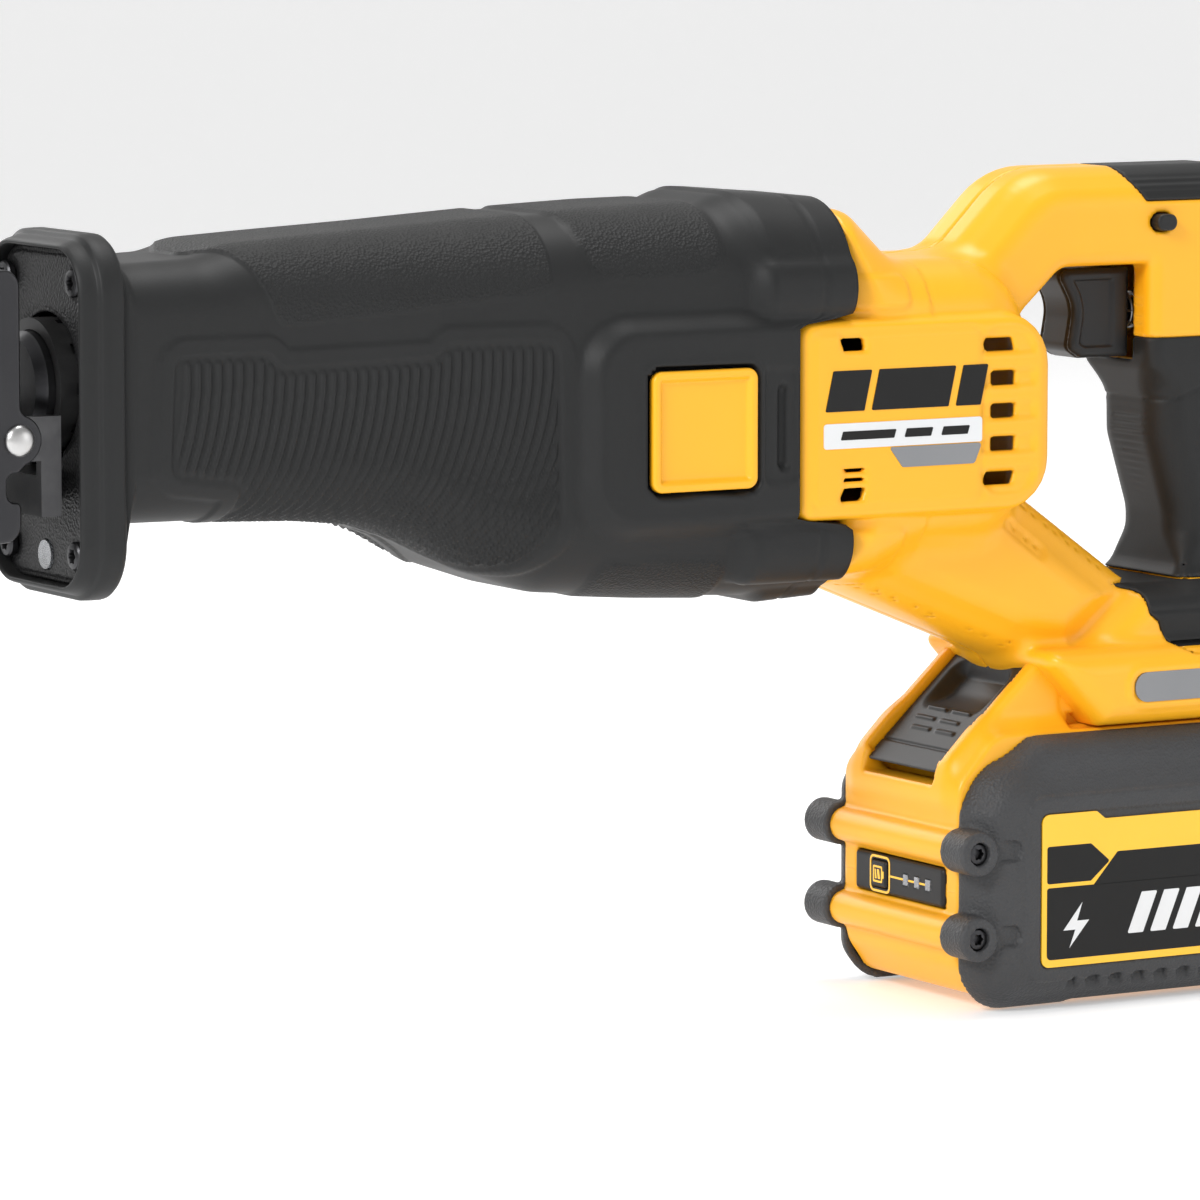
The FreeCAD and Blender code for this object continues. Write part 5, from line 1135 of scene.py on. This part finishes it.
# the boot's own sections moved in by an even inset, as a shell with cross walls, less the shaft's
# bore, the post's slot and the button's window, joined with the front flange
def gearcaseField(x, y, z):
    low, high, half, radius = (a.reshape(np.shape(x)) for a in bootSection(np.ravel(x)))
    inset = nose["inset"] + 2.6 * smooth(-131.0, -127.0, x)
    r = radius - inset
    a = np.abs(y) - (half - inset) + r
    b = np.abs(z - (low + high) / 2) - (high - low) / 2 + inset + r
    tube = np.hypot(np.maximum(a, 0), np.maximum(b, 0)) + np.minimum(np.maximum(a, b), 0) - r
    body = both(tube, np.abs(x + 231.2) - 109.0, 1.0)
    hollow = tube + nose["wall"]
    for front, rear in nose["walls"]:
        hollow = np.maximum(hollow, -(np.abs(x - (front + rear) / 2) - (rear - front) / 2))
    hollow = np.minimum(hollow, np.hypot(y, z - nose["axis"]) - nose["bore"])
    slot = rectDistance(y, z, *nose["postSlot"], 0.3)
    hollow = np.minimum(hollow, np.maximum(slot, x + 195.0))
    window = block((x, y, z), (-207.5, -150.0), (-60.0, -14.0), (152.5, 193.5), 2.0)
    body = np.maximum(body, -np.minimum(hollow, window))
    fy, fz, fr = nose["flange"]
    flange = both(rectDistance(y, z, fy, fz, fr), np.abs(x + 336.7) - 3.2, 0.5)
    mouth = rectDistance(y, z, (-20.2, 20.2), (158.0, 214.5), 10.0)
    flange = np.maximum(flange, -mouth)
    for sy in nose["screws"][0]:
        for sz in nose["screws"][1]:
            flange = np.maximum(flange, -np.maximum(np.hypot(y - sy, z - sz) - 2.05, x + 334.4))
    return np.minimum(body, flange)


# a rounded plate whose front height steps with the distance from the shaft's hole, from the edge and
# from the screws, less the openings for the shaft, the post, the light and the screws
def plateField(x, y, z):
    fy, fz, fr = nose["flange"]
    front, rear = nose["plate"]
    flat = rectDistance(y, z, fy, fz, fr)
    hole = np.hypot(y, z - nose["axis"]) - 20.0
    level = front + 0.6 - 0.6 * smooth(1.0, 2.2, hole) * smooth(-1.2, -2.4, flat)
    spots = [np.hypot(y - sy, z - sz) for sy in nose["screws"][0] for sz in nose["screws"][1]]
    near = np.minimum(np.minimum(spots[0], spots[1]), np.minimum(spots[2], spots[3]))
    level = level + 0.5 * smooth(5.6, 5.0, near)
    plate = both(both(flat, level - x, 0.4), x - rear)
    lens = np.hypot(y, z - 146.5) - 4.15
    slot = rectDistance(y, z, (-9.5, 9.5), (161.8, 180.0), 0.6)
    opening = np.minimum(np.minimum(hole, lens), np.minimum(slot, near - 2.05))
    return both(plate, -opening, 0.35)


# the face's spans and corner, its front, how far its ends curve back, half its thickness, the window,
# the side walls with their notch, and the ears round the pivot
shoe = {
    "face": ((-27.2, 27.2), (147.1, 232.9), 7.0), "front": -377.3, "curve": 4.2, "halfThick": 1.45,
    "window": ((-7.0, 7.0), (160.0, 226.0), 2.5),
    "side": ((-377.0, -363.2), (153.2, 226.8), 5.0), "sideMiddle": 26.0, "sideHalf": 1.15,
    "notch": ((-367.5, -355.0), (164.0, 172.0), 2.5), "ear": 6.9, "bore": 2.65,
}


# a rounded plate whose front curves back at both ends, less its window, joined with the side walls
# and the ears that take the rivets
def shoeField(x, y, z):
    ay = np.abs(y)
    lift = np.clip((np.abs(z - 190.0) - 34.0) / 9.0, 0, 1)
    front = shoe["front"] + shoe["curve"] * (1 - np.sqrt(1 - 0.85 * lift ** 2))
    front = front + 1.6 * smooth(24.0, 27.3, ay)
    half = shoe["halfThick"]
    plate = both(rectDistance(y, z, *shoe["face"]), np.abs(x - front - half) - half, 0.6)
    plate = both(plate, -rectDistance(y, z, *shoe["window"]), 0.6)
    px, pz = nose["pivot"]
    pivot = np.hypot(x - px, z - pz)
    side = both(rectDistance(x, z, *shoe["side"]), -rectDistance(x, z, *shoe["notch"]), 1.5)
    side = either(side, pivot - shoe["ear"], 2.0)
    side = both(side, np.abs(ay - shoe["sideMiddle"]) - shoe["sideHalf"], 0.5)
    side = np.maximum(side, shoe["bore"] - pivot)
    return either(plate, side, 1.6)


def makeNose():
    makePiece("gearcase_shell", netSurface(gearcaseField, (-342, -38, 124), (-120, 38, 238), 1.35),
              "gear_housing", "housing", ["gearcase"])
    points, faces = netSurface(plateField, (-344, -29, 138), (-339, 29, 232), 0.55)
    stipple = smooth(-341.8, -342.4, points[:, 0])
    makePiece("nose_cover", (points, faces), "black_plastic", "housing", ["nose_plate"], stipple)
    screws = [turned(screwProfile(3.9, 1.95, 7.0), lambda a, c, w: (-343.0 - w, sy + a, sz - c),
                     lobes=(9, 10, 11))
              for sy in nose["screws"][0] for sz in nose["screws"][1]]
    makeParts("nose_bolts", screws, "dark_steel", "housing", ["nose_screws"])
    makePiece("shoe_plate", netSurface(shoeField, (-379, -28.5, 145.5), (-355, 28.5, 234.5), 0.75),
              "dark_steel", "shoe", ["pivoting_shoe"])
    dome = [(0, -6.6), (3.6, -6.6), (3.6, -5.2), (2.4, -5.2), (2.4, 0.0), (4.2, 0.0), (4.35, 0.25),
            (4.2, 0.8), (3.6, 1.45), (2.6, 1.95), (1.3, 2.25), (0, 2.3)]
    px, pz = nose["pivot"]
    domes = [turned(dome, lambda a, c, w: (px + a * side, side * (27.2 + w), pz + c), 40)
             for side in (-1, 1)]
    makeParts("shoe_domes", domes, "bright_steel", "shoe_post", ["shoe_rivets"], 50)


# controls: release button, trigger and lock-off bar
controls = {
    "button": ((-175.9, -141.5), (158.4, 192.5), 3.2),
    "trigger": [(-16.8, 213.7, 2.5), (-10.4, 202.5, 11), (-12.6, 190.0, 2.6), (-8.0, 187.1, 2.4),
                (9.1, 187.1, 0.6), (9.1, 213.7, 0.6)],
    "lock": ((9.75, 16.65), (224.95, 229.85)),
}
plans["trigger"] = outlineDistance(controls["trigger"], cell=0.3)


# a rounded square whose face is dished inside its edge and bowed along its length
def releaseField(x, y, z):
    flat = rectDistance(x, z, *controls["button"])
    dish = smooth(-1.9, -3.6, flat)
    bow = 0.5 * np.clip(1 - ((x + 158.7) / 17.0) ** 2, 0, 1)
    face = -44.35 + 1.25 * dish + bow * dish
    return both(both(flat, face - y, 0.9), y + 41.5, 0.3)


# the side outline pulled across the width with rounded edges, a groove each side and a stem
def triggerField(x, y, z):
    flat, ay = plans["trigger"](x, z), np.abs(y)
    lip = 0.9 * smooth(-3.0, -3.8, flat) * smooth(3.5, 2.0, x)
    form = both(flat, ay - 9.0 + lip, 2.4)
    edge = np.abs(ay - 6.6) - 0.35
    form = both(form, -np.maximum(edge, -(flat + 0.5)), 0.3)
    stem = rod(y, z - 200.4, x, 3.5, (5.0, 17.0), 0.4)
    return np.minimum(form, stem)


# a rounded bar across the handle
def lockField(x, y, z):
    (x0, x1), (z0, z1) = controls["lock"]
    return both(rectDistance(x, z, (x0, x1), (z0, z1), 2.3), np.abs(y + 2.0) - 20.35, 0.7)


def makeControls():
    makePiece("release_key", netSurface(releaseField, (-177.5, -45.5, 156.5), (-140, -40.5, 194.5),
                                        0.5),
              "yellow_plastic", "release_button", ["shoe_release_button"])
    makePiece("trigger_lever", netSurface(triggerField, (-18.5, -10, 185.5), (18.5, 10, 215.5), 0.55),
              "black_plastic", "trigger", ["trigger"])
    makePiece("lock_bar", netSurface(lockField, (8.5, -23.5, 223.5), (18, 19.5, 231.2), 0.5),
              "black_plastic", "lock_off", ["lock_off_button"])


# generic name plates on the motor cheeks and badges on the foot
sign = {
    "bars": [(-118.0, 13.0), (-102.5, 26.0), (-74.0, 8.5)], "barZ": (178.6, 190.2), "lean": 2.6,
    "silver": [(-118.6, 168.0, 1.0), (-65.0, 168.0, 0.8), (-65.0, 175.2, 1.0), (-118.6, 175.2, 1.0)],
    "grey": [(-92.0, 161.8, 0.8), (-67.5, 161.8, 1.2), (-65.0, 167.7, 0.8), (-96.5, 167.7, 0.5)],
    "stripes": [(-113.0, 18.0), (-91.5, 9.0), (-79.0, 9.0)],
    "badge": [(-7.6, 88.0, 4.2), (55.8, 88.0, 1.5), (55.8, 96.8, 1.5), (-7.6, 96.8, 4.2)],
}


def makeSigns():
    blacks, silvers, greys, badges = [], [], [], []
    for side in (-1, 1):
        put = lambda back, front: sidePlate(back, front, side)
        lowZ, highZ = sign["barZ"]
        for start, wide in sign["bars"]:
            bar = slanted(start, wide, lowZ, highZ, sign["lean"], 0.4)
            blacks.append(flatPlate(bar, put(41.7, 42.2)))
        for start, wide in sign["stripes"]:
            blacks.append(flatPlate(slanted(start, wide, 170.4, 172.9, 0.8, 0.3), put(42.0, 42.34)))
        silvers.append(flatPlate(roundedOutline(sign["silver"]), put(41.7, 42.25)))
        greys.append(flatPlate(roundedOutline(sign["grey"]), put(41.7, 42.25)))
        badges.append(flatPlate(roundedOutline(sign["badge"]), put(36.2, 37.75)))
    makeParts("sign_bars", blacks, "label_print", "housing", ["name_plates"])
    makeParts("sign_silver", silvers, "label_silver", "housing")
    makeParts("sign_grey", greys, "grey_badge", "housing")
    makeParts("foot_signs", badges, "grey_badge", "housing", ["foot_badges"])


makeNose()
makeControls()
makeSigns()
print("stage: nose, shoe, controls and signs")
